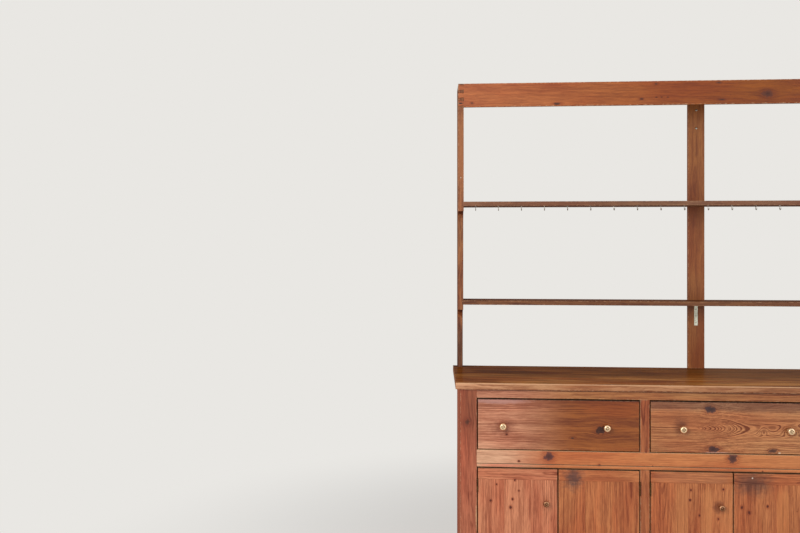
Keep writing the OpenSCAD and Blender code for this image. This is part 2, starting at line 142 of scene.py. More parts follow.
class Lay(Enum):
    """How a board lies: the axes along its grain, across its face and through it."""

    RAIL = (0, 2, 1)
    STILE = (2, 0, 1)
    PANEL = (2, 1, 0)
    SIDE = (1, 2, 0)
    TOP = (0, 1, 2)


@dataclass(frozen=True)
class Heart:
    """Where the heart of the tree lay from the middle of a board's front."""

    across: float
    behind: float
    lean: float = 0.0
    dip: float = 0.0
    shift: float = 0.0
    tone: float = 0.0

    @classmethod
    def drawn(cls, luck: random.Random, width: float) -> Heart:
        """Pick a likely heart for one more board.

        Args:
            luck: Source of chance, seeded for the piece.
            width: Width of the board across its grain.

        Returns:
            A heart behind the board for wide figure, or well to one side for straight lines.
        """
        aside = luck.choice((-1, 1)) * (width * 0.5 + luck.uniform(0.02, 0.09))
        near = luck.uniform(-0.3, 0.3) * width
        return cls(
            across=aside if luck.random() < 0.5 else near,
            behind=luck.uniform(0.015, 0.06),
            lean=luck.uniform(-0.02, 0.02),
            dip=luck.uniform(-0.03, 0.03),
            shift=luck.uniform(-40, 40),
            tone=luck.uniform(-1, 1),
        )

    def grain(self, place: float, reach: float, aside: float, depth: float) -> Vector:
        """Find where a point of a board lies in its tree.

        Args:
            place: Distance from the board's start, along the grain.
            reach: Distance from its middle, along the grain.
            aside: Distance from its middle, across the face.
            depth: Distance behind its face.

        Returns:
            The point, with X along the grain and the heart on the X axis.
        """
        return Vector((place + self.shift, aside - self.across - self.lean * reach,
                       depth + self.behind + self.dip * reach))


@dataclass(frozen=True)
class Knot:
    """A knot that goes through a board, placed on the front of the dresser."""

    x: float
    z: float
    radius: float
    stretch: float = 1.25
    colour: str = "45291f"

    @classmethod
    def pin(cls, x: float, z: float, radius: float = 4.5 * MM) -> Knot:
        """Give a small red knot."""
        return cls(x, z, radius, 1.2, "6a240c")


@dataclass(frozen=True)
class Patch:
    """A round or square area on the front of the dresser."""

    x: float
    z: float
    half_width: float
    half_height: float


@dataclass(frozen=True)
class Swell(Patch):
    """A hump in the year rings, which a flat face cuts into nested loops."""

    rise: float


@dataclass(frozen=True)
class Mark(Patch):
    """A soft patch of another colour."""

    WHOLE = 9.0
    SQUARE = 8.0
    CRISP = (0.75, 1.0)
    SOFT = (0.1, 1.2)
    SOFTEST = (0.1, 1.3)

    colour: str
    strength: float = 0.8
    ragged: float = 0.4
    kind: str = "MULTIPLY"
    power: float = 2.0
    edge: tuple[float, float] = (0.45, 1.15)


@dataclass(frozen=True)
class Climb:
    """A run along X over which the heart falls back from the face, which cuts the rings into tongues."""

    start: float
    end: float
    depth: float


@dataclass(frozen=True)
class Traits:
    """What sets the front of one piece apart, and how its boards with knots lie."""

    lay: Lay = Lay.RAIL
    knots: tuple[Knot, ...] = ()
    marks: tuple[Mark, ...] = ()
    swells: tuple[Swell, ...] = ()
    climb: Climb | None = None


@dataclass(frozen=True)
class Step:
    """A smooth step from one result to another while a value goes from low to high."""

    low: float
    high: float
    before: float = 0.0
    after: float = 1.0


@dataclass(frozen=True)
class Cloud:
    """A stretched noise: waves per metre along each axis, finer layers and their strength."""

    waves: tuple[float, float, float]
    layers: float
    rough: float


SLOW_DRIFT = Cloud((1.3, 5, 5), 2.0, 0.45)
QUICK_DRIFT = Cloud((10, 28, 28), 2.0, 0.45)
RING_PATCHES = Cloud((1.6, 9, 9), 2.0, 0.5)
RING_DASHES = Cloud((16, 80, 80), 3.0, 0.6)
BANDS = Cloud((0.8, 26, 26), 2.0, 0.5)
STREAKS = Cloud((6, 130, 130), 3.0, 0.7)
FIBRES = Cloud((28, 640, 640), 2.0, 0.6)
BLUSHES = Cloud((2.2, 9, 9), 3.0, 0.55)
CROWN_LINES = Cloud((4, 32, 20), 3.0, 0.6)
CRUMBS = Cloud((75, 75, 75), 4.0, 0.7)
RAGGED_EDGE = Cloud((45, 45, 70), 3.0, 0.6)
FINE_SPOTS = Cloud((160, 160, 160), 4.0, 0.6)
BROAD_SPOTS = Cloud((35, 35, 35), 2.0, 0.5)


class Shade:
    """Shorthand for the nodes of one shader or node group."""

    def __init__(self, tree: bpy.types.NodeTree) -> None:
        """Start on a tree."""
        self.tree = tree

    @classmethod
    def fresh(cls, owner: bpy.types.Material | bpy.types.World) -> Shade:
        """Empty the nodes of a material or world and start on them.

        Args:
            owner: The material or world.

        Returns:
            The shorthand for its tree.
        """
        owner.use_nodes = True
        owner.node_tree.nodes.clear()
        return cls(owner.node_tree)

    def add(self, kind: str, inputs: dict[str, object] | None = None, **settings: object) -> bpy.types.Node:
        """Add one node.

        Args:
            kind: Blender's name of the node type.
            inputs: Sockets or plain values that go in, by name.
            settings: Properties of the node, by name.

        Returns:
            The new node.
        """
        node = self.tree.nodes.new(kind)
        for name, value in settings.items():
            setattr(node, name, value)
        for name, value in (inputs or {}).items():
            self.feed(node.inputs[name], value)
        return node

    def feed(self, socket: Socket, value: object) -> None:
        """Join a socket to another one, or write a plain value into it.

        Args:
            socket: Socket that takes the value.
            value: Another socket or a plain value.
        """
        if isinstance(value, bpy.types.NodeSocket):
            self.tree.links.new(value, socket)
        else:
            socket.default_value = value

    def _fill(self, node: bpy.types.Node, values: Iterable[object]) -> Socket:
        """Feed the inputs of a node in order.

        Args:
            node: The node.
            values: Sockets or plain values.

        Returns:
            Its first output.
        """
        for socket, value in zip(node.inputs, values):
            self.feed(socket, value)
        return node.outputs[0]

    def sum(self, operation: str, *values: Socket | float, clamp: bool = False) -> Socket:
        """Do one sum.

        Args:
            operation: Name of the sum, such as SUBTRACT.
            values: Sockets or numbers that go in.
            clamp: Whether to hold the result between 0 and 1.

        Returns:
            The result.
        """
        return self._fill(self.add("ShaderNodeMath", operation=operation, use_clamp=clamp), values)

    def total(self, *values: Socket | float) -> Socket:
        """Add some values."""
        return reduce(lambda first, second: self.sum("ADD", first, second), values)

    def product(self, *values: Socket | float) -> Socket:
        """Multiply some values."""
        return reduce(lambda first, second: self.sum("MULTIPLY", first, second), values)

    def size(self, value: Socket) -> Socket:
        """Drop the sign of a value."""
        return self.sum("ABSOLUTE", value)

    def vector(self, operation: str, *vectors: Sequence[float] | Socket) -> Socket:
        """Do one sum with vectors.

        Args:
            operation: Name of the sum, such as MULTIPLY.
            vectors: Sockets or plain vectors that go in.

        Returns:
            The result.
        """
        return self._fill(self.add("ShaderNodeVectorMath", operation=operation), vectors)

    def parts(self, vector: Socket) -> Outputs:
        """Split a vector into its X, Y and Z."""
        return self.add("ShaderNodeSeparateXYZ", {"Vector": vector}).outputs

    def joined(self, x: Socket | float, y: Socket | float, z: Socket | float) -> Socket:
        """Join three numbers into a vector."""
        return self._fill(self.add("ShaderNodeCombineXYZ"), (x, y, z))

    def rise(self, value: Socket, step: Step) -> Socket:
        """Turn a value into a smooth step.

        Args:
            value: Socket to read.
            step: Span and results of the step.

        Returns:
            The result.
        """
        inputs = {"Value": value, "From Min": step.low, "From Max": step.high,
                  "To Min": step.before, "To Max": step.after}
        return self.add("ShaderNodeMapRange", inputs, interpolation_type="SMOOTHSTEP").outputs["Result"]

    def _noise(self, where: Socket, cloud: Cloud) -> Outputs:
        """Add a stretched noise.

        Args:
            where: Vector that places the noise.
            cloud: Form of the noise.

        Returns:
            The outputs of the noise node.
        """
        inputs = {"Vector": self.vector("MULTIPLY", where, cloud.waves), "Scale": 1.0,
                  "Detail": cloud.layers, "Roughness": cloud.rough}
        return self.add("ShaderNodeTexNoise", inputs).outputs

    def cloud(self, where: Socket, cloud: Cloud) -> Socket:
        """Give a stretched noise as a number."""
        return self._noise(where, cloud)["Fac"]

    def drift(self, where: Socket, cloud: Cloud, reach: float) -> Socket:
        """Give a wandering shift across the grain.

        Args:
            where: Vector that places the noise.
            cloud: Form of the noise.
            reach: Width of the whole wander in metres.

        Returns:
            The shift as a vector.
        """
        centred = self.vector("SUBTRACT", self._noise(where, cloud)["Color"], (0.5, 0.5, 0.5))
        return self.vector("MULTIPLY", centred, (0.0, reach, reach))

    def carried(self, name: str, kind: str = "Fac") -> Socket:
        """Read what the mesh carries under a name, as a number or as a Vector."""
        return self.add("ShaderNodeAttribute", attribute_name=name).outputs[kind]

    def blend(self, share: Socket | float, first: object, second: object, kind: str = "MIX") -> Socket:
        """Blend two colours.

        Args:
            share: How much of the second colour shows.
            first: First colour.
            second: Second colour.
            kind: Way of blending, such as MULTIPLY.

        Returns:
            The blended colour.
        """
        node = self.add("ShaderNodeMix", data_type="RGBA", blend_type=kind)
        for place, value in ((0, share), (6, first), (7, second)):
            self.feed(node.inputs[place], value)
        return node.outputs[2]

    def bumped(self, height: Socket, strength: float, distance: float) -> Socket:
        """Turn a height into a bumpy normal.

        Args:
            height: Height of the surface.
            strength: How strongly the bumps show.
            distance: Height of the bumps in metres.

        Returns:
            The normal.
        """
        inputs = {"Strength": strength, "Distance": distance, "Height": height}
        return self.add("ShaderNodeBump", inputs).outputs[0]

    def mixed(self, share: Socket | float, *shaders: bpy.types.Node) -> Socket:
        """Mix two shaders.

        Args:
            share: How much of the second one shows.
            shaders: Nodes of the two shaders.

        Returns:
            The mixed shader.
        """
        return self._fill(self.add("ShaderNodeMixShader"), (share, *(node.outputs[0] for node in shaders)))

    def show(self, shader: Socket, kind: str = "ShaderNodeOutputMaterial") -> None:
        """Join the finished shader to the output."""
        self.add(kind, {"Surface": shader})


class WoodGroups:
    """The two node groups that all the wood shares."""

    FIGURE = "pine figure"
    KNOT = "knot flow"

    GRAIN_BEND = 0.95
    SLOW_REACH = 45 * MM
    QUICK_REACH = 12 * MM
    YEAR_PACE = 0.31
    YEAR_CHANGE = 3.2
    LATE_WOOD = Step(0.40, 0.80)
    YEAR_END = Step(0.88, 1.0, 1.0, 0.0)
    YEAR_STRENGTH = Step(0.0, 1.0, 0.25, 1.1)
    OPEN_PATCH = Step(0.3, 0.7, 0.7, -0.2)
    OPEN_DASH = Step(0.3, 0.62, 0.7, -0.1)

    @classmethod
    def _group(cls, name: str, ins: dict[str, str],
               outs: Sequence[str]) -> tuple[Shade, Outputs, bpy.types.NodeInputs]:
        """Make an empty node group.

        Args:
            name: Name of the group.
            ins: Socket type of each input, by name.
            outs: Names of the outputs, all numbers.

        Returns:
            Its shorthand, what it is given and what it gives back.
        """
        tree = bpy.data.node_groups.new(name, "ShaderNodeTree")
        for label, kind in ins.items():
            tree.interface.new_socket(label, in_out="INPUT", socket_type=kind)
        for label in outs:
            tree.interface.new_socket(label, in_out="OUTPUT", socket_type="NodeSocketFloat")
        shade = Shade(tree)
        return shade, shade.add("NodeGroupInput").outputs, shade.add("NodeGroupOutput").inputs

    @classmethod
    def knot(cls) -> bpy.types.NodeTree:
        """Give the group that bends the grain round one knot.

        Returns:
            A group that takes the distances along and across from a knot, and its radius. It
            gives the sideways shift of the grain and the distance in knot radii.
        """
        if cls.KNOT in bpy.data.node_groups:
            return bpy.data.node_groups[cls.KNOT]
        ins = dict.fromkeys(("Along", "Across", "Radius"), "NodeSocketFloat")
        shade, given, back = cls._group(cls.KNOT, ins, ("Shift", "Near"))
        along, across, radius = (given[name] for name in ins)
        square = shade.total(shade.product(along, along), shade.product(across, across))
        inside = shade.product(radius, radius)
        pull = shade.sum("DIVIDE", inside, shade.sum("MAXIMUM", square, inside))
        shade.feed(back["Shift"], shade.product(pull, across, -cls.GRAIN_BEND))
        shade.feed(back["Near"], shade.sum("DIVIDE", shade.sum("SQRT", square), radius))
        return shade.tree

    @classmethod
    def figure(cls) -> bpy.types.NodeTree:
        """Give the group that grows the year rings and fibres.

        Returns:
            A group that takes grain coordinates, with X along the grain and the heart on the
            X axis. It gives the strength of the late wood, bands, streaks, fibres and blushes.
        """
        if cls.FIGURE in bpy.data.node_groups:
            return bpy.data.node_groups[cls.FIGURE]
        ins = {"Grain": "NodeSocketVector",
               **dict.fromkeys(("Shift", "Ring", "Wander", "Breaks"), "NodeSocketFloat")}
        shade, given, back = cls._group(cls.FIGURE, ins, ("Late", "Band", "Streak", "Fibre", "Blush"))
        grain = given["Grain"]
        drift = shade.vector("ADD", shade.drift(grain, SLOW_DRIFT, cls.SLOW_REACH),
                             shade.drift(grain, QUICK_DRIFT, cls.QUICK_REACH))
        wander = given["Wander"]
        drift = shade.vector("MULTIPLY", drift, shade.joined(wander, wander, wander))
        where = shade.parts(shade.vector("ADD", grain, drift))
        side = shade.total(where["Y"], given["Shift"])
        square = shade.total(shade.product(side, side), shade.product(where["Z"], where["Z"]))
        years = shade.sum("DIVIDE", shade.sum("SQRT", square), given["Ring"])
        luck = shade.add("ShaderNodeTexNoise", {"Scale": 1.0, "W": shade.product(years, cls.YEAR_PACE)},
                         noise_dimensions="1D").outputs["Fac"]
        years = shade.total(years, shade.product(luck, cls.YEAR_CHANGE))
        season = shade.sum("FRACT", years)
        year = shade.add("ShaderNodeTexWhiteNoise", {"W": shade.sum("FLOOR", years)},
                         noise_dimensions="1D").outputs["Value"]
        late = shade.product(shade.rise(season, cls.LATE_WOOD), shade.rise(season, cls.YEAR_END),
                             shade.rise(year, cls.YEAR_STRENGTH))
        flow = shade.joined(where["X"], side, where["Z"])
        gaps = shade.total(shade.rise(shade.cloud(grain, RING_PATCHES), cls.OPEN_PATCH),
                           shade.rise(shade.cloud(flow, RING_DASHES), cls.OPEN_DASH))
        kept = shade.sum("SUBTRACT", 1.0, shade.product(gaps, given["Breaks"]), clamp=True)
        results = {"Late": shade.product(late, kept), "Band": shade.cloud(flow, BANDS),
                   "Streak": shade.cloud(flow, STREAKS), "Fibre": shade.cloud(flow, FIBRES),
                   "Blush": shade.cloud(grain, BLUSHES)}
        for name, result in results.items():
            shade.feed(back[name], result)
        return shade.tree


@dataclass(frozen=True)
class Pine:
    """Pine under one wash of old varnish; on some pieces the wash also carries painted light, paler and
    pinker to the left, and painted shade on top.
    """

    name: str
    slot: str
    wash: str
    right_wash_and_light: str = ""
    fade: tuple[float, float] = (-1.1, 0.4)
    crown: str = ""
    crown_back: str = ""
    crown_fade: tuple[float, float] = (-0.20, 0.04)
    ring: float = 5 * MM
    contrast: float = 0.45
    bands: float = 0.22
    streaks: float = 0.5
    fibres: float = 0.3
    blush: float = 0.9
    wander: float = 1.0
    breaks: float = 1.0
    roughness: float = 0.42
    gloss: float = 0.04
    wear_and_highlight: float = 0.3
    grime_and_shade_above: float = 0.0
    grime_and_shade_below: float = 0.0
    bare_edges: float = 0.0
    pin_knot: float = 3.5 * MM
    pale: str = "f7c59c"
    deep: str = "985f40"
    rosy: str = "eed2ca"

    def material(self, piece: str, box: Box, traits: Traits, lay: Lay | None) -> bpy.types.Material:
        """Build the finish for one piece.

        Args:
            piece: Name that the material goes by.
            box: Space that the piece fills, for the wear and painted highlight of its arrises.
            traits: What sets its front apart.
            lay: How the whole piece lies, or None where its mesh tells its ends.

        Returns:
            The finished material.
        """
        coat = Coat(self, piece, box)
        coat.grow(traits)
        for mark in traits.marks:
            coat.mark(mark)
        coat.soil()
        coat.wear_and_highlight()
        coat.darken_ends(lay)
        return coat.varnished()


class Coat:
    """The finish of one wooden piece, laid on in steps."""

    CHANCE_KNOT = "6e2f17"
    KNOT_RING = "70402a"
    KNOT_HEART = "6a4c40"
    KNOT_HALO = "c08a6e"
    CROWN_LINE = "c8c6c4"
    BARE_EDGE = "e8c9a2"
    DIRT_AND_SHADE = "2e1008"
    RUBBED_AND_HIGHLIT = "dcae86"
    END_GRAIN = "a07a62"

    KNOTS_ALONG = 2.4
    KNOTS_ACROSS = 5.0
    LEAST_KNOT = 0.05 * MM
    TONE = 0.10
    BAND = Step(0.35, 0.65)
    STREAK = Step(0.33, 0.70)
    FIBRE = Step(0.30, 0.75)
    BLUSH = Step(0.38, 0.66)
    LINES = Step(0.40, 0.62)
    UPWARD = Step(0.5, 0.9)
    KNOT_CRUMBLE = 2.3
    RINGS_A_KNOT = 2.2
    RING = Step(0.2, 0.8, 0.0, 0.4)
    HEART = Step(0.1, 0.9, 0.55, 0.0)
    HALO = Step(0.8, 2.4, 0.5, 0.0)
    KNOT_EDGE = Step(0.72, 1.1, 0.95, 0.0)
    SIDEWAYS = Step(0.3, 0.8)
    UNEVEN = Step(0.3, 0.6, 0.6, 1.0)
    WORN = Step(0.42, 0.66)
    WEAR_REACH = 4 * MM
    END = Step(0.6, 0.85)
    END_DEPTH = 0.75
    ROUGH_CHANGE = 0.16
    RING_HEIGHT = 0.6
    FIBRE_HEIGHT = 0.4
    BUMP = 0.35
    BUMP_HEIGHT = 0.25 * MM

    def __init__(self, pine: Pine, piece: str, box: Box) -> None:
        """Start with the grain that the mesh carries.

        Args:
            pine: Kind of finish.
            piece: Name of the piece.
            box: Space that the piece fills.
        """
        self.pine = pine
        self.box = box
        self.material = bpy.data.materials.new(f"{pine.name}.{piece}")
        self.shade = Shade.fresh(self.material)
        coordinates = self.shade.add("ShaderNodeTexCoord").outputs
        self.place = coordinates["Object"]
        self.here = self.shade.parts(self.place)
        self.looks = self.shade.parts(coordinates["Normal"])
        self.grain = self.shade.carried("grain", "Vector")
        self.broken = self.shade.cloud(self.place, CRUMBS)
        self.figure: Outputs | None = None
        self.colour: Socket | tuple[float, ...] = tint(pine.pale)

    def _paint(self, share: Socket, code: str, kind: str = "MIX") -> None:
        """Lay some of a colour over what is there."""
        self.colour = self.shade.blend(share, self.colour, tint(code), kind)

    def _lift(self, height: Socket) -> None:
        """Move the grain away from the face by some height."""
        self.grain = self.shade.vector("ADD", self.grain, self.shade.joined(0.0, 0.0, height))

    def _away(self, patch: Patch, power: float = 2.0) -> Socket:
        """Measure the distance from the middle of a patch.

        Args:
            patch: The patch, whose own half sizes count as 1.
            power: 2 for round, more for square.

        Returns:
            The distance.
        """
        shade = self.shade
        total: Socket | float = 0.0
        for name, middle, half in (("X", patch.x, patch.half_width), ("Z", patch.z, patch.half_height)):
            part = shade.size(shade.sum("DIVIDE", shade.sum("SUBTRACT", self.here[name], middle), half))
            total = shade.total(total, shade.sum("POWER", part, power))
        return shade.sum("POWER", total, 1 / power)

    def _flow(self, along: Socket, across: Socket, radius: Socket | float) -> Outputs:
        """Bend the grain round a knot.

        Args:
            along: Distance from the knot along the grain.
            across: Distance from the knot across the grain.
            radius: Radius of the knot.

        Returns:
            The shift of the grain and the distance in knot radii.
        """
        inputs = {"Along": along, "Across": across, "Radius": radius}
        return self.shade.add("ShaderNodeGroup", inputs, node_tree=WoodGroups.knot()).outputs

    def _chance_flow(self) -> Outputs:
        """Scatter small knots over the boards.

        Returns:
            The flow round them.
        """
        shade = self.shade
        spot = shade.vector("MULTIPLY", self.grain, (self.KNOTS_ALONG, self.KNOTS_ACROSS, 0.0))
        cells = shade.add("ShaderNodeTexVoronoi", {"Vector": spot, "Scale": 1.0},
                          voronoi_dimensions="2D").outputs
        away = shade.parts(shade.vector("SUBTRACT", spot, cells["Position"]))
        chance = shade.parts(cells["Color"])["X"]
        return self._flow(shade.sum("DIVIDE", away["X"], self.KNOTS_ALONG),
                          shade.sum("DIVIDE", away["Y"], self.KNOTS_ACROSS),
                          shade.rise(chance, Step(0.6, 1.0, self.LEAST_KNOT, self.pine.pin_knot)))

    def _placed_flow(self, knot: Knot, lay: Lay) -> Outputs:
        """Place one knot on the front.

        Args:
            knot: The knot.
            lay: How the board with the knot lies.

        Returns:
            The flow round it.
        """
        middle = {0: knot.x, 2: knot.z}
        along, across = (self.shade.sum("SUBTRACT", self.here[axis], middle[axis])
                         for axis in lay.value[:2])
        return self._flow(self.shade.sum("DIVIDE", along, knot.stretch), across, knot.radius)

    def grow(self, traits: Traits) -> None:
        """Grow the wood with its humps and knots, and colour it.

        Args:
            traits: What sets the front apart.
        """
        shade = self.shade
        for swell in traits.swells:
            away = self._away(swell)
            self._lift(shade.sum("DIVIDE", swell.rise, shade.total(1.0, shade.product(away, away))))
        if traits.climb is not None:
            run = Step(traits.climb.start, traits.climb.end, 0.0, traits.climb.depth)
            self._lift(shade.rise(self.here["X"], run))
        flows = [self._chance_flow(), *(self._placed_flow(knot, traits.lay) for knot in traits.knots)]
        shift = shade.total(0.0, *(flow["Shift"] for flow in flows))
        inputs = {"Grain": self.grain, "Shift": shift, "Ring": self.pine.ring, "Wander": self.pine.wander,
                  "Breaks": self.pine.breaks}
        self.figure = shade.add("ShaderNodeGroup", inputs, node_tree=WoodGroups.figure()).outputs
        self.colour = shade.blend(1.0, self._clear_wood(), self._wash(), "MULTIPLY")
        for flow, code in zip(flows, (self.CHANCE_KNOT, *(knot.colour for knot in traits.knots))):
            self._knot(flow["Near"], code)

    def _clear_wood(self) -> Socket:
        """Colour the clear wood from its figure.

        Returns:
            The colour under the wash.
        """
        shade, pine, figure = self.shade, self.pine, self.figure
        depth = shade.product(figure["Late"], pine.contrast)
        band = shade.sum("SUBTRACT", figure["Band"], shade.product(shade.carried("tone"), self.TONE))
        for value, step, strength in ((band, self.BAND, pine.bands),
                                      (figure["Streak"], self.STREAK, pine.streaks),
                                      (figure["Fibre"], self.FIBRE, pine.fibres)):
            depth = shade.total(depth, shade.rise(value, replace(step, after=strength)))
        colour = shade.blend(shade.sum("MINIMUM", depth, 1.0), tint(pine.pale), tint(pine.deep))
        blush = shade.rise(figure["Blush"], replace(self.BLUSH, after=pine.blush))
        return shade.blend(blush, colour, tint(pine.rosy), "MULTIPLY")

    def _wash(self) -> object:
        """Tint the wood under the varnish. The change to the right is painted light: the paler, pinker left
        end stands for window light and its reflection. On top the crown colours take over, darker than the
        front from grime and painted shade, and darker still towards the back.

        Returns:
            The colour of the wash.
        """
        shade, pine = self.shade, self.pine
        wash: object = tint(pine.wash)
        # Painted light: the left end is paler and pinker, and the colour fades to the right-hand one.
        if pine.right_wash_and_light:
            wash = shade.blend(shade.rise(self.here["X"], Step(*pine.fade)), wash, tint(pine.right_wash_and_light))
        # The top: grime with painted shade, darker towards the back.
        if pine.crown:
            back = shade.rise(self.here["Y"], Step(*pine.crown_fade))
            crown = shade.blend(back, tint(pine.crown), tint(pine.crown_back))
            lines = shade.rise(shade.cloud(self.grain, CROWN_LINES), self.LINES)
            crown = shade.blend(lines, crown, tint(self.CROWN_LINE), "MULTIPLY")
            wash = shade.blend(shade.rise(self.looks["Z"], self.UPWARD), wash, crown)
        return wash

    def _knot(self, near: Socket, code: str) -> None:
        """Colour one knot and its surroundings.

        Args:
            near: Distance to the knot in its radii.
            code: Colour of the knot.
        """
        shade = self.shade
        crumble = shade.product(shade.sum("SUBTRACT", self.broken, 0.5), self.KNOT_CRUMBLE)
        uneven = shade.total(near, crumble)
        ring = shade.sum("FRACT", shade.product(uneven, self.RINGS_A_KNOT))
        core = shade.blend(shade.rise(ring, self.RING), tint(code), tint(self.KNOT_RING))
        core = shade.blend(shade.rise(near, self.HEART), core, tint(self.KNOT_HEART), "MULTIPLY")
        self._paint(shade.rise(near, self.HALO), self.KNOT_HALO, "MULTIPLY")
        self.colour = shade.blend(shade.rise(uneven, self.KNOT_EDGE), self.colour, core)

    def mark(self, mark: Mark) -> None:
        """Lay one soft patch over the wood.

        Args:
            mark: The patch.
        """
        shade = self.shade
        rag = shade.sum("SUBTRACT", shade.cloud(self.place, RAGGED_EDGE), 0.5)
        away = shade.total(self._away(mark, mark.power), shade.product(rag, 2 * mark.ragged))
        self._paint(shade.rise(away, Step(*mark.edge, mark.strength, 0.0)), mark.colour, mark.kind)

    def soil(self) -> None:
        """Colour the edges that lie back in the gaps: dark with dirt and painted shade on the faces that
        look up and down, and bare where they rub.
        """
        shade, pine, looks = self.shade, self.pine, self.looks
        if pine.grime_and_shade_above + pine.grime_and_shade_below + pine.bare_edges == 0.0:
            return
        front, outer = self.box.low.y, abs(Box.of("left_end_stile").low.x)
        behind = shade.rise(self.here["Y"], Step(front + 1 * MM, front + 5 * MM))
        inner = shade.rise(shade.size(self.here["X"]), Step(outer - 4 * MM, outer - 2 * MM, 1.0, 0.0))
        flank = shade.product(shade.rise(shade.size(looks["X"]), self.SIDEWAYS), inner)
        level = shade.rise(shade.size(looks["Z"]), self.SIDEWAYS)
        bare = shade.product(shade.sum("MAXIMUM", flank, level), pine.bare_edges)
        self._paint(shade.product(bare, behind), self.BARE_EDGE)
        # Dirt with painted shade on the faces that look up and down in the gaps.
        up, down = self.SIDEWAYS, Step(-self.SIDEWAYS.high, -self.SIDEWAYS.low, pine.grime_and_shade_below, 0.0)
        grime_and_shade = shade.total(shade.rise(looks["Z"], replace(up, after=pine.grime_and_shade_above)),
                            shade.rise(looks["Z"], down))
        self._paint(shade.product(behind, grime_and_shade, shade.rise(self.broken, self.UNEVEN)), self.DIRT_AND_SHADE)

    def wear_and_highlight(self) -> None:
        """Rub the outer arrises of the piece pale: wear, which on the fascia is also a painted highlight.
        The middle one of three distances finds them.
        """
        shade, box = self.shade, self.box
        away = shade.vector("ABSOLUTE", shade.vector("SUBTRACT", self.place, tuple(box.centre)))
        room = shade.parts(shade.vector("SUBTRACT", tuple(box.size / 2), away))
        lesser, greater = (shade.sum(kind, room["X"], room["Y"]) for kind in ("MINIMUM", "MAXIMUM"))
        edge = shade.sum("MAXIMUM", lesser, shade.sum("MINIMUM", greater, room["Z"]))
        reach = shade.product(shade.rise(self.broken, self.WORN), self.WEAR_REACH)
        bare = Step(-1.5 * MM, 1.2 * MM, self.pine.wear_and_highlight, 0.0)
        self._paint(shade.rise(shade.sum("SUBTRACT", edge, reach), bare), self.RUBBED_AND_HIGHLIT)

    def darken_ends(self, lay: Lay | None) -> None:
        """Darken the end grain.

        Args:
            lay: How the whole piece lies, or None where its mesh tells its ends.
        """
        if lay is None:
            end = self.shade.carried("end")
        else:
            end = self.shade.rise(self.shade.size(self.looks[lay.value[0]]), self.END)
        self._paint(self.shade.product(end, self.END_DEPTH), self.END_GRAIN, "MULTIPLY")

    def varnished(self) -> bpy.types.Material:
        """Lay an even sheen of varnish over the coloured wood.

        Returns:
            The finished material.
        """
        shade, figure = self.shade, self.figure
        rough = shade.total(self.pine.roughness - self.ROUGH_CHANGE / 2,
                            shade.product(figure["Streak"], self.ROUGH_CHANGE))
        height = shade.total(shade.product(figure["Late"], self.RING_HEIGHT),
                             shade.product(figure["Fibre"], self.FIBRE_HEIGHT))
        normal = shade.bumped(height, self.BUMP, self.BUMP_HEIGHT)
        wood = shade.add("ShaderNodeBsdfPrincipled", {"Specular IOR Level": 0.0, "Roughness": 0.8,
                                                      "Base Color": self.colour, "Normal": normal})
        sheen = shade.add("ShaderNodeBsdfAnisotropic", {"Roughness": rough, "Normal": normal})
        shade.show(shade.mixed(self.pine.gloss, wood, sheen))
        return self.material


@dataclass(frozen=True)
class Metal:
    """Brass or plated steel, with tarnish in its hollows."""

    name: str
    slot: str
    bright: str
    dull: str
    roughness: float
    tarnish: float
    hollows: float = 0.9
    rougher: float = 0.3

    def material(self) -> bpy.types.Material:
        """Build the finish once and share it.

        Returns:
            The finished material.
        """
        found = bpy.data.materials.get(self.name)
        if found is not None:
            return found
        material = bpy.data.materials.new(self.name)
        shade = Shade.fresh(material)
        here = shade.add("ShaderNodeTexCoord").outputs["Object"]
        spots = shade.cloud(here, FINE_SPOTS)
        patches = shade.rise(shade.total(spots, shade.cloud(here, BROAD_SPOTS)), Step(0.85, 1.25))
        dirt = shade.sum("ADD", shade.product(shade.carried("soil"), self.hollows),
                         shade.product(patches, self.tarnish), clamp=True)
        rough = shade.sum("ADD", self.roughness, shade.product(dirt, self.rougher), clamp=True)
        metal = shade.add("ShaderNodeBsdfPrincipled", {
            "Metallic": 1.0, "Base Color": shade.blend(dirt, tint(self.bright), tint(self.dull)),
            "Roughness": rough, "Normal": shade.bumped(spots, 0.2, 0.1 * MM)})
        shade.show(metal.outputs[0])
        return material


# FRAME, TOP_RAIL, MIDDLE_RAIL, WORKTOP and FASCIA are paler and pinker at the left end: painted light,
# fading to the right.
FRAME = Pine("varnished frame", "frame_pine", "d9a599", "d2a381", fade=(-1.1, -0.5), wander=0.45,
             contrast=0.6, bare_edges=0.8)
TOP_RAIL = replace(FRAME, wash="eed2d1", right_wash_and_light="d8c29a", fade=(-0.95, -0.6), grime_and_shade_below=0.95)
MIDDLE_RAIL = replace(FRAME, wash="fffbfe", right_wash_and_light="edc094", fade=(-0.95, -0.7), contrast=0.3,
                      streaks=0.3, bands=0.12, grime_and_shade_below=0.7)
PANEL = replace(FRAME, bare_edges=0.0)
DRAWER = Pine("varnished drawer", "drawer_pine", "ecd6b4", ring=4.5 * MM, wander=0.4, wear_and_highlight=0.15,
              grime_and_shade_above=0.95, bare_edges=0.8, pin_knot=1 * MM, contrast=0.9, streaks=0.6)
DOOR = Pine("varnished door", "door_pine", "e8bb93", ring=4.5 * MM, wander=0.35, wear_and_highlight=0.15,
            grime_and_shade_above=0.3, bare_edges=0.6, contrast=0.75, bands=0.15, pin_knot=1.5 * MM)
WORKTOP = Pine("worn worktop", "worktop_pine", "fffaf4", "e6dac8", fade=(-1.15, -0.75), crown="f0d090",
               crown_back="ae874d", ring=9 * MM, contrast=0.3, bands=0.25, streaks=0.45, roughness=0.25,
               gloss=0.03, pin_knot=1 * MM, rosy="cea890")
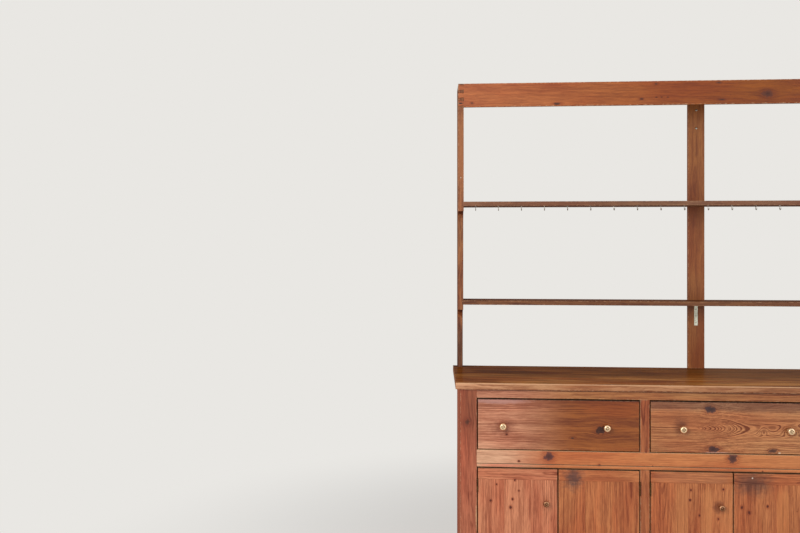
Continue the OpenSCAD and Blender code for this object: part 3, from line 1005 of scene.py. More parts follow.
# Its strong wear on the arrises is partly a painted highlight.
FASCIA = Pine("red fascia", "fascia_pine", "daa57a", "af7715", wander=0.5, contrast=0.35, streaks=0.4,
              bands=0.2, wear_and_highlight=0.6, pin_knot=2 * MM)
SHELF_SIDE = Pine("varnished end board", "shelf_pine", "ba9f7b", contrast=0.8, streaks=0.8)
POST = Pine("dark post", "dark_pine", "c19d6c", contrast=0.25, streaks=0.3, bands=0.3)
SHELF = Pine("dark shelf", "dark_pine", "987e61", contrast=0.4)
UPPER_SHELF = replace(SHELF, wash="9e8f83")
BARE = Pine("bare pine", "carcass_pine", "f2e6c4", roughness=0.6, gloss=0.015, wear_and_highlight=0.2, deep="c88f60",
            rosy="f8e0d0")
BRIGHT_BRASS = Metal("bright brass", "bright_brass", "ffdeb4", "5c4220", 0.24, 0.3)
DULL_BRASS = Metal("dull brass", "dull_brass", "bc8c6a", "5e3620", 0.34, 0.65)
HINGE_BRASS = Metal("aged hinge", "hinge_brass", "5c452c", "1f1712", 0.42, 0.7)
HOOK_STEEL = Metal("plated hook", "hook_steel", "b9b2a6", "5a5148", 0.25, 0.4)
BRACKET_STEEL = Metal("pale bracket", "hook_steel", "eef2e0", "8c8a7c", 0.5, 0.35)


@dataclass(frozen=True)
class Corner:
    """One point of a board's outline across its length."""

    across: float
    depth: float
    out: tuple[float, float]


class Outline:
    """Outlines of boards, seen from the end of the grain."""

    STEPS = 3
    BEAD_STEPS = 12
    SLANT = (0.7, 0.7)

    @classmethod
    def block(cls, width: float, depth: float, arrises: Sequence[float]) -> list[Corner]:
        """Draw a rectangle with rounded arrises.

        Args:
            width: Width across the face.
            depth: Thickness behind the face.
            arrises: Radii at low front, high front, high back and low back.

        Returns:
            The outline, turning one way round.
        """
        corners = ((0.0, 0.0), (width, 0.0), (width, depth), (0.0, depth))
        points = []
        for index, (corner, radius) in enumerate(zip(corners, arrises)):
            middle = tuple(place + (radius if place == 0 else -radius) for place in corner)
            start = math.pi * (1 + index / 2)
            points += cls._arc(middle, radius, start, start + math.pi / 2, cls.STEPS)
        return points

    @staticmethod
    def _arc(middle: tuple[float, ...], radius: float, start: float, end: float,
             steps: int) -> list[Corner]:
        """Draw an arc from one angle to another.

        Args:
            middle: Centre of the arc, across and deep.
            radius: Its radius.
            start: Angle of its first point, in radians.
            end: Angle of its last point, in radians.
            steps: Number of straight steps between them.

        Returns:
            The points of the arc.
        """
        points = []
        for step in range(steps + 1):
            angle = start + (end - start) * step / steps
            out = (math.cos(angle), math.sin(angle))
            points.append(Corner(middle[0] + radius * out[0], middle[1] + radius * out[1], out))
        return points

    @classmethod
    def beaded(cls, height: float, depth: float, bead: float, proud: float, groove: float,
               arris: float) -> list[Corner]:
        """Draw the middle rail, with a bead along its lower edge and a small groove above it.

        Args:
            height: Height of the rail with its bead.
            depth: Depth from the front of the bead to the back.
            bead: Radius of the bead.
            proud: How far the bead stands out from the face.
            groove: Width and depth of the groove above the bead.
            arris: Radius of the arrises.

        Returns:
            The outline, with height as the way across.
        """
        top, front = 2 * bead, (0.0, -1.0)
        bead_end = 2 * math.pi - math.acos(1 - groove / bead)
        points = cls._arc((bead, bead), bead, math.pi, bead_end, cls.BEAD_STEPS)
        points += [Corner(top - groove, proud + groove, front), Corner(top, proud + groove, front)]
        points += cls._arc((top + arris / 2, proud + arris / 2), arris / 2, math.pi, 1.5 * math.pi, 2)
        points += cls._arc((height - arris, proud + arris), arris, -math.pi / 2, 0.0, cls.STEPS)
        points += [Corner(height, depth, cls.SLANT), Corner(0.0, depth, (-cls.SLANT[0], cls.SLANT[1]))]
        return points


def join_rings(mesh: bmesh.types.BMesh, rings: Sequence[Sequence[bmesh.types.BMVert]]) -> None:
    """Lay faces between each ring of points and the next.

    Args:
        mesh: Mesh that holds the points.
        rings: Rings of as many points each.
    """
    for first, second in zip(rings, rings[1:]):
        for i in range(len(first)):
            j = (i + 1) % len(first)
            mesh.faces.new((first[i], first[j], second[j], second[i]))


def round_edges(mesh: bmesh.types.BMesh, edges: Iterable[bmesh.types.BMEdge], radius: float) -> None:
    """Round some edges of a mesh.

    Args:
        mesh: The mesh.
        edges: Edges to round.
        radius: Radius of the rounding.
    """
    bmesh.ops.bevel(mesh, geom=list(edges), offset=radius, offset_type="OFFSET", segments=2, profile=0.5,
                    affect="EDGES", clamp_overlap=True)


class Timber:
    """One piece of joinery: a mesh of boards that carry their grain as attributes."""

    RUN = 0.11
    END_STEPS = 3
    WANDER_ALONG = 13
    WANDER_ACROSS = 7
    SHARP = math.radians(40)

    def __init__(self, name: str, box: Box, seed: int) -> None:
        """Start an empty piece.

        Args:
            name: Name of the piece.
            box: Space that it will fill.
            seed: Seed of its chance.
        """
        self.name = name
        self.box = box
        self.mesh = bmesh.new()
        layers = self.mesh.verts.layers
        self.grain = layers.float_vector.new("grain")
        self.tone = layers.float.new("tone")
        self.end = layers.float.new("end")
        self.luck = random.Random(seed)

    def board(self, box: Box, lay: Lay, arris: float | Sequence[float], heart: Heart | None = None,
              outline: list[Corner] | None = None, rough: float = 0.35 * MM, turned: bool = False) -> None:
        """Add one board with rounded arrises that wander a little.

        Args:
            box: Space that the board fills.
            lay: How it lies.
            arris: Radius of the arrises, or four radii from low front round to low back.
            heart: Place of the tree's heart, or None to draw one.
            outline: Outline to use in place of a rectangle.
            rough: How far the arrises wander inward.
            turned: Whether the face looks to the high side of the thickness.
        """
        along, across, through = lay.value
        size = box.size
        radii = (arris,) * 4 if isinstance(arris, float) else tuple(arris)
        shape = outline or Outline.block(size[across], size[through], radii)
        heart = heart or Heart.drawn(self.luck, size[across])
        seed = self.luck.uniform(0, 100)
        rings = []
        for place, inset in self._stations(size[along], min(radii)):
            ring = []
            for corner in shape:
                at = Vector((place * self.WANDER_ALONG, corner.across * self.WANDER_ACROSS, seed))
                bite = inset + rough * max(0.0, noise.noise(at))
                u = corner.across - corner.out[0] * bite
                v = corner.depth - corner.out[1] * bite
                spot = Vector((0, 0, 0))
                spot[along] = box.low[along] + place
                spot[across] = box.low[across] + u
                spot[through] = box.high[through] - v if turned else box.low[through] + v
                vert = self.mesh.verts.new(spot)
                vert[self.grain] = heart.grain(place, place - size[along] / 2, u - size[across] / 2, v)
                vert[self.tone] = heart.tone
                ring.append(vert)
            rings.append(ring)
        join_rings(self.mesh, rings)
        for ring in (rings[0], rings[-1]):
            for vert in ring:
                vert[self.end] = 1.0
            self.mesh.faces.new(ring)

    def _stations(self, length: float, radius: float) -> list[tuple[float, float]]:
        """Divide a board along its grain.

        Args:
            length: Length of the board.
            radius: Radius of the rounding at its ends.

        Returns:
            Place and inset of each division.
        """
        ends = []
        for step in range(self.END_STEPS + 1):
            angle = math.pi / 2 * step / self.END_STEPS
            ends.append((radius * (1 - math.cos(angle)), radius * (1 - math.sin(angle))))
        inner = length - 2 * radius
        count = max(1, round(inner / self.RUN))
        middle = [(radius + inner * i / count, 0.0) for i in range(1, count)]
        return ends + middle + [(length - place, inset) for place, inset in reversed(ends)]

    def fitted(self, node: str, lay: Lay | Callable[[Vector], Lay], arris: float = 0.8 * MM,
               chosen: Callable[[bmesh.types.BMEdge], bool] | None = None,
               heart: Heart | None = None) -> None:
        """Add a copy of a CAD node, keeping its joints and softening its arrises.

        Args:
            node: Name of the CAD node.
            lay: How the wood lies, or a rule that tells it from a face's middle.
            arris: Radius of the softened arrises.
            chosen: Rule for the arrises to soften, or None for all.
            heart: Place of the tree's heart, or None to draw one for each way of lying.
        """
        copy = softened(node, arris, self.SHARP, chosen)
        groups: dict[Lay, list[bmesh.types.BMFace]] = {}
        for face in copy.faces:
            lie = lay if isinstance(lay, Lay) else lay(face.calc_center_median())
            groups.setdefault(lie, []).append(face)
        for lie, faces in groups.items():
            self._adopt(faces, lie, heart)
        copy.free()

    def _adopt(self, faces: Iterable[bmesh.types.BMFace], lay: Lay, heart: Heart | None) -> None:
        """Take over faces that lie one way, with grain of their own.

        Args:
            faces: Faces of another mesh.
            lay: How their wood lies.
            heart: Place of the tree's heart, or None to draw one.
        """
        along, across, through = lay.value
        verts = {vert.index: vert for face in faces for vert in face.verts}
        low = [min(vert.co[i] for vert in verts.values()) for i in range(3)]
        high = [max(vert.co[i] for vert in verts.values()) for i in range(3)]
        heart = heart or Heart.drawn(self.luck, high[across] - low[across])
        made = {}
        for index, vert in verts.items():
            new = self.mesh.verts.new(vert.co)
            new[self.grain] = heart.grain(vert.co[along] - low[along],
                                          vert.co[along] - (low[along] + high[along]) / 2,
                                          vert.co[across] - (low[across] + high[across]) / 2,
                                          vert.co[through] - low[through])
            new[self.tone] = heart.tone
            made[index] = new
        for face in faces:
            self.mesh.faces.new([made[vert.index] for vert in face.verts])

    def place(self, finish: Pine, body: str, node: str, traits: Traits = Traits(),
              lay: Lay | None = None) -> None:
        """Varnish the mesh and make it a piece of the dresser.

        Args:
            finish: Finish of the piece.
            body: CAD body that it moves with.
            node: CAD node that it stands for.
            traits: What sets its front apart.
            lay: How the whole piece lies, or None where its mesh tells its ends.
        """
        bmesh.ops.recalc_face_normals(self.mesh, faces=self.mesh.faces)
        material = finish.material(node, self.box, traits, lay)
        made_piece(self.name, self.mesh, material, body, node)


WELD = 0.005 * MM
FLAT = math.radians(0.5)
CREASE = math.radians(50)
FORWARD = Vector((0, -1, 0))
DOWN = Vector((0, 0, -1))


def softened(node: str, arris: float, angle: float,
             chosen: Callable[[bmesh.types.BMEdge], bool] | None = None) -> bmesh.types.BMesh:
    """Copy a CAD node and round its sharp convex edges.

    Args:
        node: Name of the CAD node.
        arris: Radius of the rounding.
        angle: Least angle of an edge that is rounded.
        chosen: Rule for the edges to round, or None for all.

    Returns:
        The rounded copy.
    """
    copy = bmesh.new()
    copy.from_mesh(bpy.data.objects[node].data)
    bmesh.ops.remove_doubles(copy, verts=copy.verts, dist=WELD)
    bmesh.ops.dissolve_limit(copy, angle_limit=FLAT, verts=copy.verts, edges=copy.edges)
    sharp = [edge for edge in copy.edges if len(edge.link_faces) == 2 and edge.is_convex
             and edge.calc_face_angle(0) > angle and (chosen is None or chosen(edge))]
    if sharp:
        round_edges(copy, sharp, arris)
    copy.verts.index_update()
    return copy


def in_scene(name: str, data: bpy.types.ID) -> bpy.types.Object:
    """Put new data into the scene.

    Args:
        name: Name of the object.
        data: Its mesh, lamp or camera.

    Returns:
        The object.
    """
    made = bpy.data.objects.new(name, data)
    bpy.context.scene.collection.objects.link(made)
    return made


def made_piece(name: str, mesh: bmesh.types.BMesh, material: bpy.types.Material, body: str,
               node: str = "") -> None:
    """Turn a mesh into a named, smoothly shaded piece that rides on the frame.

    Args:
        name: Name of the piece.
        mesh: Its mesh, which is freed.
        material: Its finish.
        body: CAD body that it moves with.
        node: CAD node that it stands for, if any.
    """
    data = bpy.data.meshes.new(name)
    mesh.to_mesh(data)
    mesh.free()
    data.materials.append(material)
    data.shade_smooth()
    data.set_sharp_from_angle(angle=CREASE)
    piece = in_scene(name, data)
    piece.modifiers.new("even shading", "WEIGHTED_NORMAL").keep_sharp = True
    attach(piece, body)
    if node:
        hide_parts(node)
    LOG.info("%s: %d faces on %s", name, len(data.polygons), body)


@dataclass(frozen=True)
class Turning:
    """A turned piece of metal, drawn as radius, height and dirt from its foot to its tip."""

    profile: tuple[tuple[float, float, float], ...]
    sides: int = 40

    @classmethod
    def knob(cls) -> Turning:
        """Draw a knob in shares of its radius and height.

        Returns:
            A knob with a flange, a hollow neck, a round crown and a dished middle.
        """
        flange = ((0.70, 0.000, 0.9), (0.72, 0.035, 0.8), (0.70, 0.065, 0.5), (0.60, 0.085, 0.8))
        neck = ((0.42, 0.120, 0.9), (0.36, 0.180, 0.8), (0.35, 0.300, 0.6), (0.40, 0.370, 0.6))
        underside = ((0.55, 0.430, 0.3), (0.78, 0.500, 0.1), (0.93, 0.580, 0.0))
        crown = ((1.00, 0.680, 0.0), (0.985, 0.770, 0.0), (0.93, 0.850, 0.0), (0.84, 0.920, 0.0),
                 (0.72, 0.970, 0.0), (0.60, 0.995, 0.0))
        dish = ((0.50, 1.000, 0.1), (0.44, 0.985, 0.5), (0.40, 0.950, 0.9), (0.34, 0.930, 0.8),
                (0.26, 0.935, 0.6), (0.18, 0.960, 0.2), (0.06, 0.970, 0.2))
        return cls((*flange, *neck, *underside, *crown, *dish))

    def sized(self, radius: float, height: float) -> Turning:
        """Give the same form at another radius and height."""
        return Turning(tuple((r * radius, h * height, soil) for r, h, soil in self.profile), self.sides)

    def add(self, mesh: bmesh.types.BMesh, foot: Vector, axis: Vector, slot: float = 0.0) -> None:
        """Turn the piece into a mesh.

        Args:
            mesh: Mesh to add to, with a layer named soil.
            foot: Middle of its foot.
            axis: Way that it points.
            slot: Half the width of a slot across it, or 0 for none.
        """
        soil_layer = mesh.verts.layers.float["soil"]
        turn = axis.to_track_quat("Z", "Y")
        halves = ((0.0, math.pi), (math.pi, 2 * math.pi)) if slot else ((0.0, 2 * math.pi),)
        for start, end in halves:
            count = self.sides // len(halves)
            steps = count if slot else count - 1
            rings = []
            for radius, height, soil in self.profile:
                ring = []
                for side in range(steps + 1):
                    angle = start + (end - start) * side / count
                    y = radius * math.sin(angle)
                    if slot:
                        y = max(y, slot) if start == 0.0 else min(y, -slot)
                    vert = mesh.verts.new(foot + turn @ Vector((radius * math.cos(angle), y, height)))
                    vert[soil_layer] = soil
                    ring.append(vert)
                rings.append(ring)
            join_rings(mesh, rings)
            mesh.faces.new(list(reversed(rings[0])))
            mesh.faces.new(rings[-1])


KNOB = Turning.knob()
SCREW_HEAD = Turning(((1.00, 0.00, 0.6), (1.00, 0.20, 0.3), (0.92, 0.50, 0.0), (0.72, 0.80, 0.0),
                      (0.42, 1.00, 0.0)), 24)
SLOT_FLOOR = Turning(((0.97, 0.00, 0.9), (0.96, 0.35, 1.0)), 24)
SLOT_SHARE = 0.14
METAL_SHARP = math.radians(60)
PLATE_SCREW = (2.6 * MM, 0.45 * MM)


def metal_mesh() -> bmesh.types.BMesh:
    """Start a piece of metal.

    Returns:
        An empty mesh with a layer for dirt.
    """
    mesh = bmesh.new()
    mesh.verts.layers.float.new("soil")
    return mesh


def add_screw(mesh: bmesh.types.BMesh, foot: Vector, axis: Vector, radius: float, height: float) -> None:
    """Add a screw head with a slot across it.

    Args:
        mesh: Mesh to add to.
        foot: Middle of its foot.
        axis: Way that it points.
        radius: Radius of the head.
        height: Height of the head.
    """
    SCREW_HEAD.sized(radius, height).add(mesh, foot, axis, slot=SLOT_SHARE * radius)
    SLOT_FLOOR.sized(radius, height).add(mesh, foot, axis)


def add_knobs(node: str, body: str, finish: Metal, places: Sequence[float]) -> None:
    """Turn the knobs of one drawer or door.

    Args:
        node: CAD node of the knobs.
        body: CAD body that they move with.
        finish: Their metal.
        places: Their places along X.
    """
    box = Box.of(node)
    mesh = metal_mesh()
    knob = KNOB.sized(box.size.z / 2, box.size.y)
    for x in places:
        knob.add(mesh, Vector((x, box.high.y, box.centre.z)), FORWARD)
    made_piece(node + "_turned", mesh, finish.material(), body, node)


def add_hardware(node: str, body: str, finish: Metal, arris: float = 0.2 * MM,
                 screws: Sequence[tuple[Vector, Vector]] = ()) -> None:
    """Give metal that keeps the form of its CAD node softened edges, and its screws.

    Args:
        node: CAD node.
        body: CAD body that it moves with.
        finish: Its metal.
        arris: Radius of the edges.
        screws: Foot and axis of each screw head.
    """
    mesh = softened(node, arris, METAL_SHARP)
    mesh.verts.layers.float.new("soil")
    for foot, axis in screws:
        add_screw(mesh, foot, axis, *PLATE_SCREW)
    made_piece(node + "_metal", mesh, finish.material(), body, node)


@dataclass
class BaseCabinet:
    """The worktop, the face frame and the carcass behind it."""

    body: str = "cabinet"
    worktop_shares: tuple[float, ...] = (1.0, 1.15, 1.05, 0.9)
    worktop_joint: float = 0.25 * MM
    worktop_arris: float = 0.7 * MM
    worktop_back: float = 1.2 * MM
    worktop_wander: float = 0.6 * MM
    nosing: float = 4.8 * MM
    panel_shares: tuple[float, ...] = (1.0, 1.2, 0.9)
    panel_joint: float = 0.2 * MM
    panel_arris: float = 0.9 * MM
    arris: float = 1.5 * MM
    bead_radius: float = 8.5 * MM
    bead_proud: float = 4 * MM
    groove: float = 2 * MM
    back_board: float = 0.115
    back_joint: float = 0.9 * MM
    back_arris: float = 1.2 * MM
    tongue: float = 3 * MM
    tongue_arris: float = 0.2 * MM

    def build(self) -> None:
        """Build every piece of the base that doesn't move."""
        self.worktop()
        self.uprights()
        self.rails()
        self.panels()
        self.back()
        self.inside()

    def worktop(self) -> None:
        """Join the worktop from long boards, the front one with a nosing."""
        whole = Box.of("worktop")
        timber = Timber("worktop_boards", whole, seed=11)
        for number, board in enumerate(whole.shares(1, self.worktop_shares, self.worktop_joint)):
            front = self.nosing if number == 0 else self.worktop_arris
            arrises = (front, self.worktop_arris, self.worktop_back, self.arris)
            timber.board(board, Lay.TOP, arrises, turned=True, rough=self.worktop_wander)
        light = Mark(0.28, whole.high.z, 0.36, 60 * MM, "d8a878", 0.12, 0.3, "MIX")
        # Pale band along the front top arris: painted highlight, with some wear.
        rubbed_and_highlit = Mark(0.0, whole.high.z - 3.5 * MM, Mark.WHOLE, 2.6 * MM, "e8b88c", 0.6, 0.05, "MIX")
        # Darker band along the lower front edge: painted shade.
        painted_shade = Mark(0.0, whole.low.z, Mark.WHOLE, 5 * MM, "b48c70", 0.6, 0.25)
        timber.place(WORKTOP, self.body, "worktop", Traits(marks=(light, rubbed_and_highlit, painted_shade)))

    def uprights(self) -> None:
        """Build the stiles and muntins of the face frame."""
        left = Traits(Lay.STILE, (Knot(-1.0994, 0.7305, 12 * MM, 1.1, "7a3c28"),),
                      (Mark(-1.063, 0.33, 3 * MM, 60 * MM, "e8b888", 0.7, 0.9, "MIX"),
                       Mark(-1.096, 0.80, 0.1, 0.17, "cbc9b8", 0.8, 0.3, edge=Mark.SOFT)))
        names = ("left_end_stile", "right_end_stile", "left_drawer_muntin", "right_drawer_muntin",
                 "left_door_muntin", "right_door_muntin")
        top, middle, bottom = (Box.of(name) for name in ("top_rail", "middle_rail", "bottom_rail"))
        for seed, name in enumerate(names, 30):
            box = Box.of(name)
            if "drawer" in name:
                box = box.limited(2, middle.high.z, top.low.z)
            elif "door" in name:
                box = box.limited(2, bottom.high.z, middle.low.z)
            timber = Timber(name + "_board", box, seed)
            timber.board(box, Lay.STILE, self.arris)
            timber.place(FRAME, self.body, name, left if name == names[0] else Traits(Lay.STILE))

    def rails(self) -> None:
        """Build the three rails between the end stiles."""
        left, right = Box.of("left_end_stile").high.x, Box.of("right_end_stile").low.x
        for seed, (name, finish) in enumerate((("top_rail", TOP_RAIL), ("bottom_rail", FRAME)), 40):
            box = Box.of(name).limited(0, left, right)
            timber = Timber(name + "_board", box, seed)
            timber.board(box, Lay.RAIL, self.arris)
            # Dark band along the rail's top edge: painted shadow, under the worktop on the top rail and
            # under the doors on the bottom rail.
            under = Mark(0.0, box.high.z, Mark.WHOLE, 6 * MM, "6a4030", 0.7, 0.2)
            timber.place(finish, self.body, name, Traits(marks=(under,)))
        box = Box.of("middle_rail").limited(0, left, right)
        timber = Timber("middle_rail_board", box, seed=45)
        outline = Outline.beaded(box.size.z, box.size.y, self.bead_radius, self.bead_proud, self.groove,
                                 self.arris)
        timber.board(box, Lay.RAIL, self.arris, outline=outline)
        knots = (Knot.pin(-0.8835, 0.568), Knot.pin(-0.5495, 0.558),
                 Knot(-0.7585, 0.590, 19 * MM, 1.1, "603434"), Knot(-0.0025, 0.597, 18 * MM, 1.1, "583230"))
        groove_z = box.low.z + 2 * self.bead_radius - self.groove / 2
        # Pink tint on the left of the bead: painted reflection of window light.
        blush = Mark(-0.96, box.low.z + self.bead_radius, 0.11, 9 * MM, "ffccc8", 0.8, 0.3)
        # Dark line in the groove above the bead: painted shade, with dirt.
        groove = Mark(0.0, groove_z, Mark.WHOLE, 1.8 * MM, "2c1810", 0.9, 0.1)
        timber.place(MIDDLE_RAIL, self.body, "middle_rail", Traits(knots=knots, marks=(blush, groove)))

    def panels(self) -> None:
        """Build the two side panels, each of three upright boards."""
        for seed, (name, turned) in enumerate((("left_side_panel", False), ("right_side_panel", True)), 50):
            whole = Box.of(name)
            timber = Timber(name + "_boards", whole, seed)
            for board in whole.shares(1, self.panel_shares, self.panel_joint):
                timber.board(board, Lay.PANEL, self.panel_arris, turned=turned)
            timber.place(PANEL, self.body, name, Traits(Lay.PANEL))

    def back(self) -> None:
        """Board the back with upright boards and close their joints with loose tongues."""
        box = Box.of("back_panel")
        count = round(box.size.x / self.back_board)
        timber = Timber("back_boards", box, seed=60)
        boards = box.shares(0, (1.0,) * count, self.back_joint)
        for board in boards:
            timber.board(board, Lay.STILE, self.back_arris, turned=True)
        slot = box.limited(1, box.centre.y - self.tongue / 2, box.centre.y + self.tongue / 2)
        slot = slot.limited(2, box.low.z + self.tongue, box.high.z - self.tongue)
        for board, neighbour in zip(boards, boards[1:]):
            tongue = slot.limited(0, board.high.x - self.tongue, neighbour.low.x + self.tongue)
            timber.board(tongue, Lay.STILE, self.tongue_arris, rough=0.0)
        timber.place(BARE, self.body, "back_panel")

    def inside(self) -> None:
        """Copy the partitions, the cupboard floor and the runners with softened arrises."""
        lays = {"left_partition": Lay.PANEL, "right_partition": Lay.PANEL, "cupboard_floor": Lay.TOP,
                "drawer_runners": Lay.SIDE}
        for seed, (name, lay) in enumerate(lays.items(), 70):
            timber = Timber(name + "_wood", Box.of(name), seed)
            timber.fitted(name, lay)
            timber.place(BARE, self.body, name, lay=lay)


@dataclass
class Drawer:
    """One drawer with its front, its dovetailed box and its two knobs."""

    number: int
    finish: Pine
    traits: Traits = Traits()
    heart: Heart | None = None
    # Strength of the painted shade, with a cool painted sheen, along the top of the front.
    painted_shade: float = 0.7
    arris: float = 1.6 * MM
    box_arris: float = 0.6 * MM
    side_thickness: float = 13.1 * MM
    bottom_height: float = 17 * MM

    @property
    def body(self) -> str:
        """CAD body of the drawer."""
        return f"drawer_{self.number}"

    def build(self) -> None:
        """Build the front, the box and the knobs."""
        self.front()
        self.box()
        node = f"{self.body}_knobs"
        box = Box.of(node)
        half = box.size.z / 2
        add_knobs(node, self.body, BRIGHT_BRASS, (box.low.x + half, box.high.x - half))

    def front(self) -> None:
        """Build the front, with its lapped dovetails kept and its face edged by hand."""
        node = f"{self.body}_front"
        box = Box.of(node)
        timber = Timber(f"{self.body}_front_board", box, 100 + self.number)
        face = box.low.y + WELD
        timber.fitted(node, Lay.RAIL, self.arris, lambda edge: all(v.co.y < face for v in edge.verts),
                      self.heart)
        # Painted shade under the worktop, with a cool painted sheen, along the top of the front.
        shaded_top_band = Mark(0.0, box.high.z, Mark.WHOLE, 46 * MM, "bcc0dc", self.painted_shade, 0.3)
        # Painted shadow just under the top edge.
        top_shadow_line = Mark(0.0, box.high.z, Mark.WHOLE, 3.2 * MM, "6e3826", 0.9, 0.15)
        traits = replace(self.traits, marks=(shaded_top_band, *self.traits.marks, top_shadow_line))
        timber.place(self.finish, self.body, node, traits, Lay.RAIL)

    def box(self) -> None:
        """Build the box, each board with its own grain."""
        node = f"{self.body}_box"
        box = Box.of(node)

        def lay(spot: Vector) -> Lay:
            """Tell the sides from the bottom and the back.

            Args:
                spot: Middle of a face.

            Returns:
                How its wood lies.
            """
            if min(spot.x - box.low.x, box.high.x - spot.x) < self.side_thickness:
                return Lay.SIDE
            return Lay.RAIL if spot.z > box.low.z + self.bottom_height else Lay.TOP

        timber = Timber(f"{self.body}_box_boards", box, 110 + self.number)
        timber.fitted(node, lay, self.box_arris)
        timber.place(BARE, self.body, node)


@dataclass(frozen=True)
class HingeScrews:
    """The screws in the plates of a door's two butt hinges."""

    plate_height: float = 56 * MM
    fixed_back: float = 3.6 * MM
    moving_back: float = 1.4 * MM
    depth: float = 7.5 * MM
    ends: float = 10 * MM
    shares: tuple[float, ...] = (0.0, 0.5, 1.0)

    def places(self, number: int, moving: bool) -> list[tuple[Vector, Vector]]:
        """Find the screws of one door's hinges.

        Args:
            number: Number of the door.
            moving: Whether to give those in the door rather than those in the frame.

        Returns:
            Foot and axis of each screw head.
        """
        leaf, hinges = Box.of(f"door_{number}_leaf"), Box.of(f"door_{number}_hinges")
        way = 1 if number % 2 == 1 else -1
        edge = leaf.low.x if way == 1 else leaf.high.x
        x = edge - way * (self.moving_back if moving else self.fixed_back)
        axis = Vector((-way if moving else way, 0, 0))
        found = []
        for low in (hinges.low.z, hinges.high.z - self.plate_height):
            for share in self.shares:
                z = low + self.ends + share * (self.plate_height - 2 * self.ends)
                found.append((Vector((x, leaf.low.y + self.depth, z)), axis))
        return found


@dataclass
class Door:
    """One plank door with clamps across its ends, its hinge halves and its knob."""

    number: int
    finish: Pine
    traits: Traits = Traits()
    shares: tuple[float, ...] = (1.0, 1.0, 1.0)
    tones: tuple[float, ...] = (0.0, 0.0, 0.0)
    clamp: float = 46 * MM
    clamp_arris: float = 0.9 * MM
    clamp_wander: float = 0.2 * MM
    line: float = 0.25 * MM
    board_arris: float = 0.5 * MM
    board_wander: float = 0.1 * MM

    @property
    def body(self) -> str:
        """CAD body of the door."""
        return f"door_{self.number}"

    def build(self) -> None:
        """Build the leaf, its hinges and, on a left door, its knob."""
        self.leaf()
        screws = HingeScrews().places(self.number, moving=True)
        add_hardware(f"{self.body}_hinges", self.body, HINGE_BRASS, screws=screws)
        if self.number % 2 == 1:
            node = f"{self.body}_knob"
            add_knobs(node, self.body, DULL_BRASS, (Box.of(node).centre.x,))

    def leaf(self) -> None:
        """Join the leaf from upright boards between two clamps."""
        node = f"{self.body}_leaf"
        box = Box.of(node)
        timber = Timber(f"{self.body}_leaf_boards", box, 130 + self.number)
        low, high = box.low.z + self.clamp, box.high.z - self.clamp
        for clamp in (box.limited(2, high=low - self.line), box.limited(2, low=high + self.line)):
            timber.board(clamp, Lay.RAIL, self.clamp_arris, rough=self.clamp_wander)
        boards = box.limited(2, low, high).shares(0, self.shares, self.line)
        for board, tone in zip(boards, self.tones):
            heart = replace(Heart.drawn(timber.luck, board.size.x), tone=tone)
            timber.board(board, Lay.STILE, self.board_arris, heart, rough=self.board_wander)
        timber.place(self.finish, self.body, node, replace(self.traits, lay=Lay.STILE))


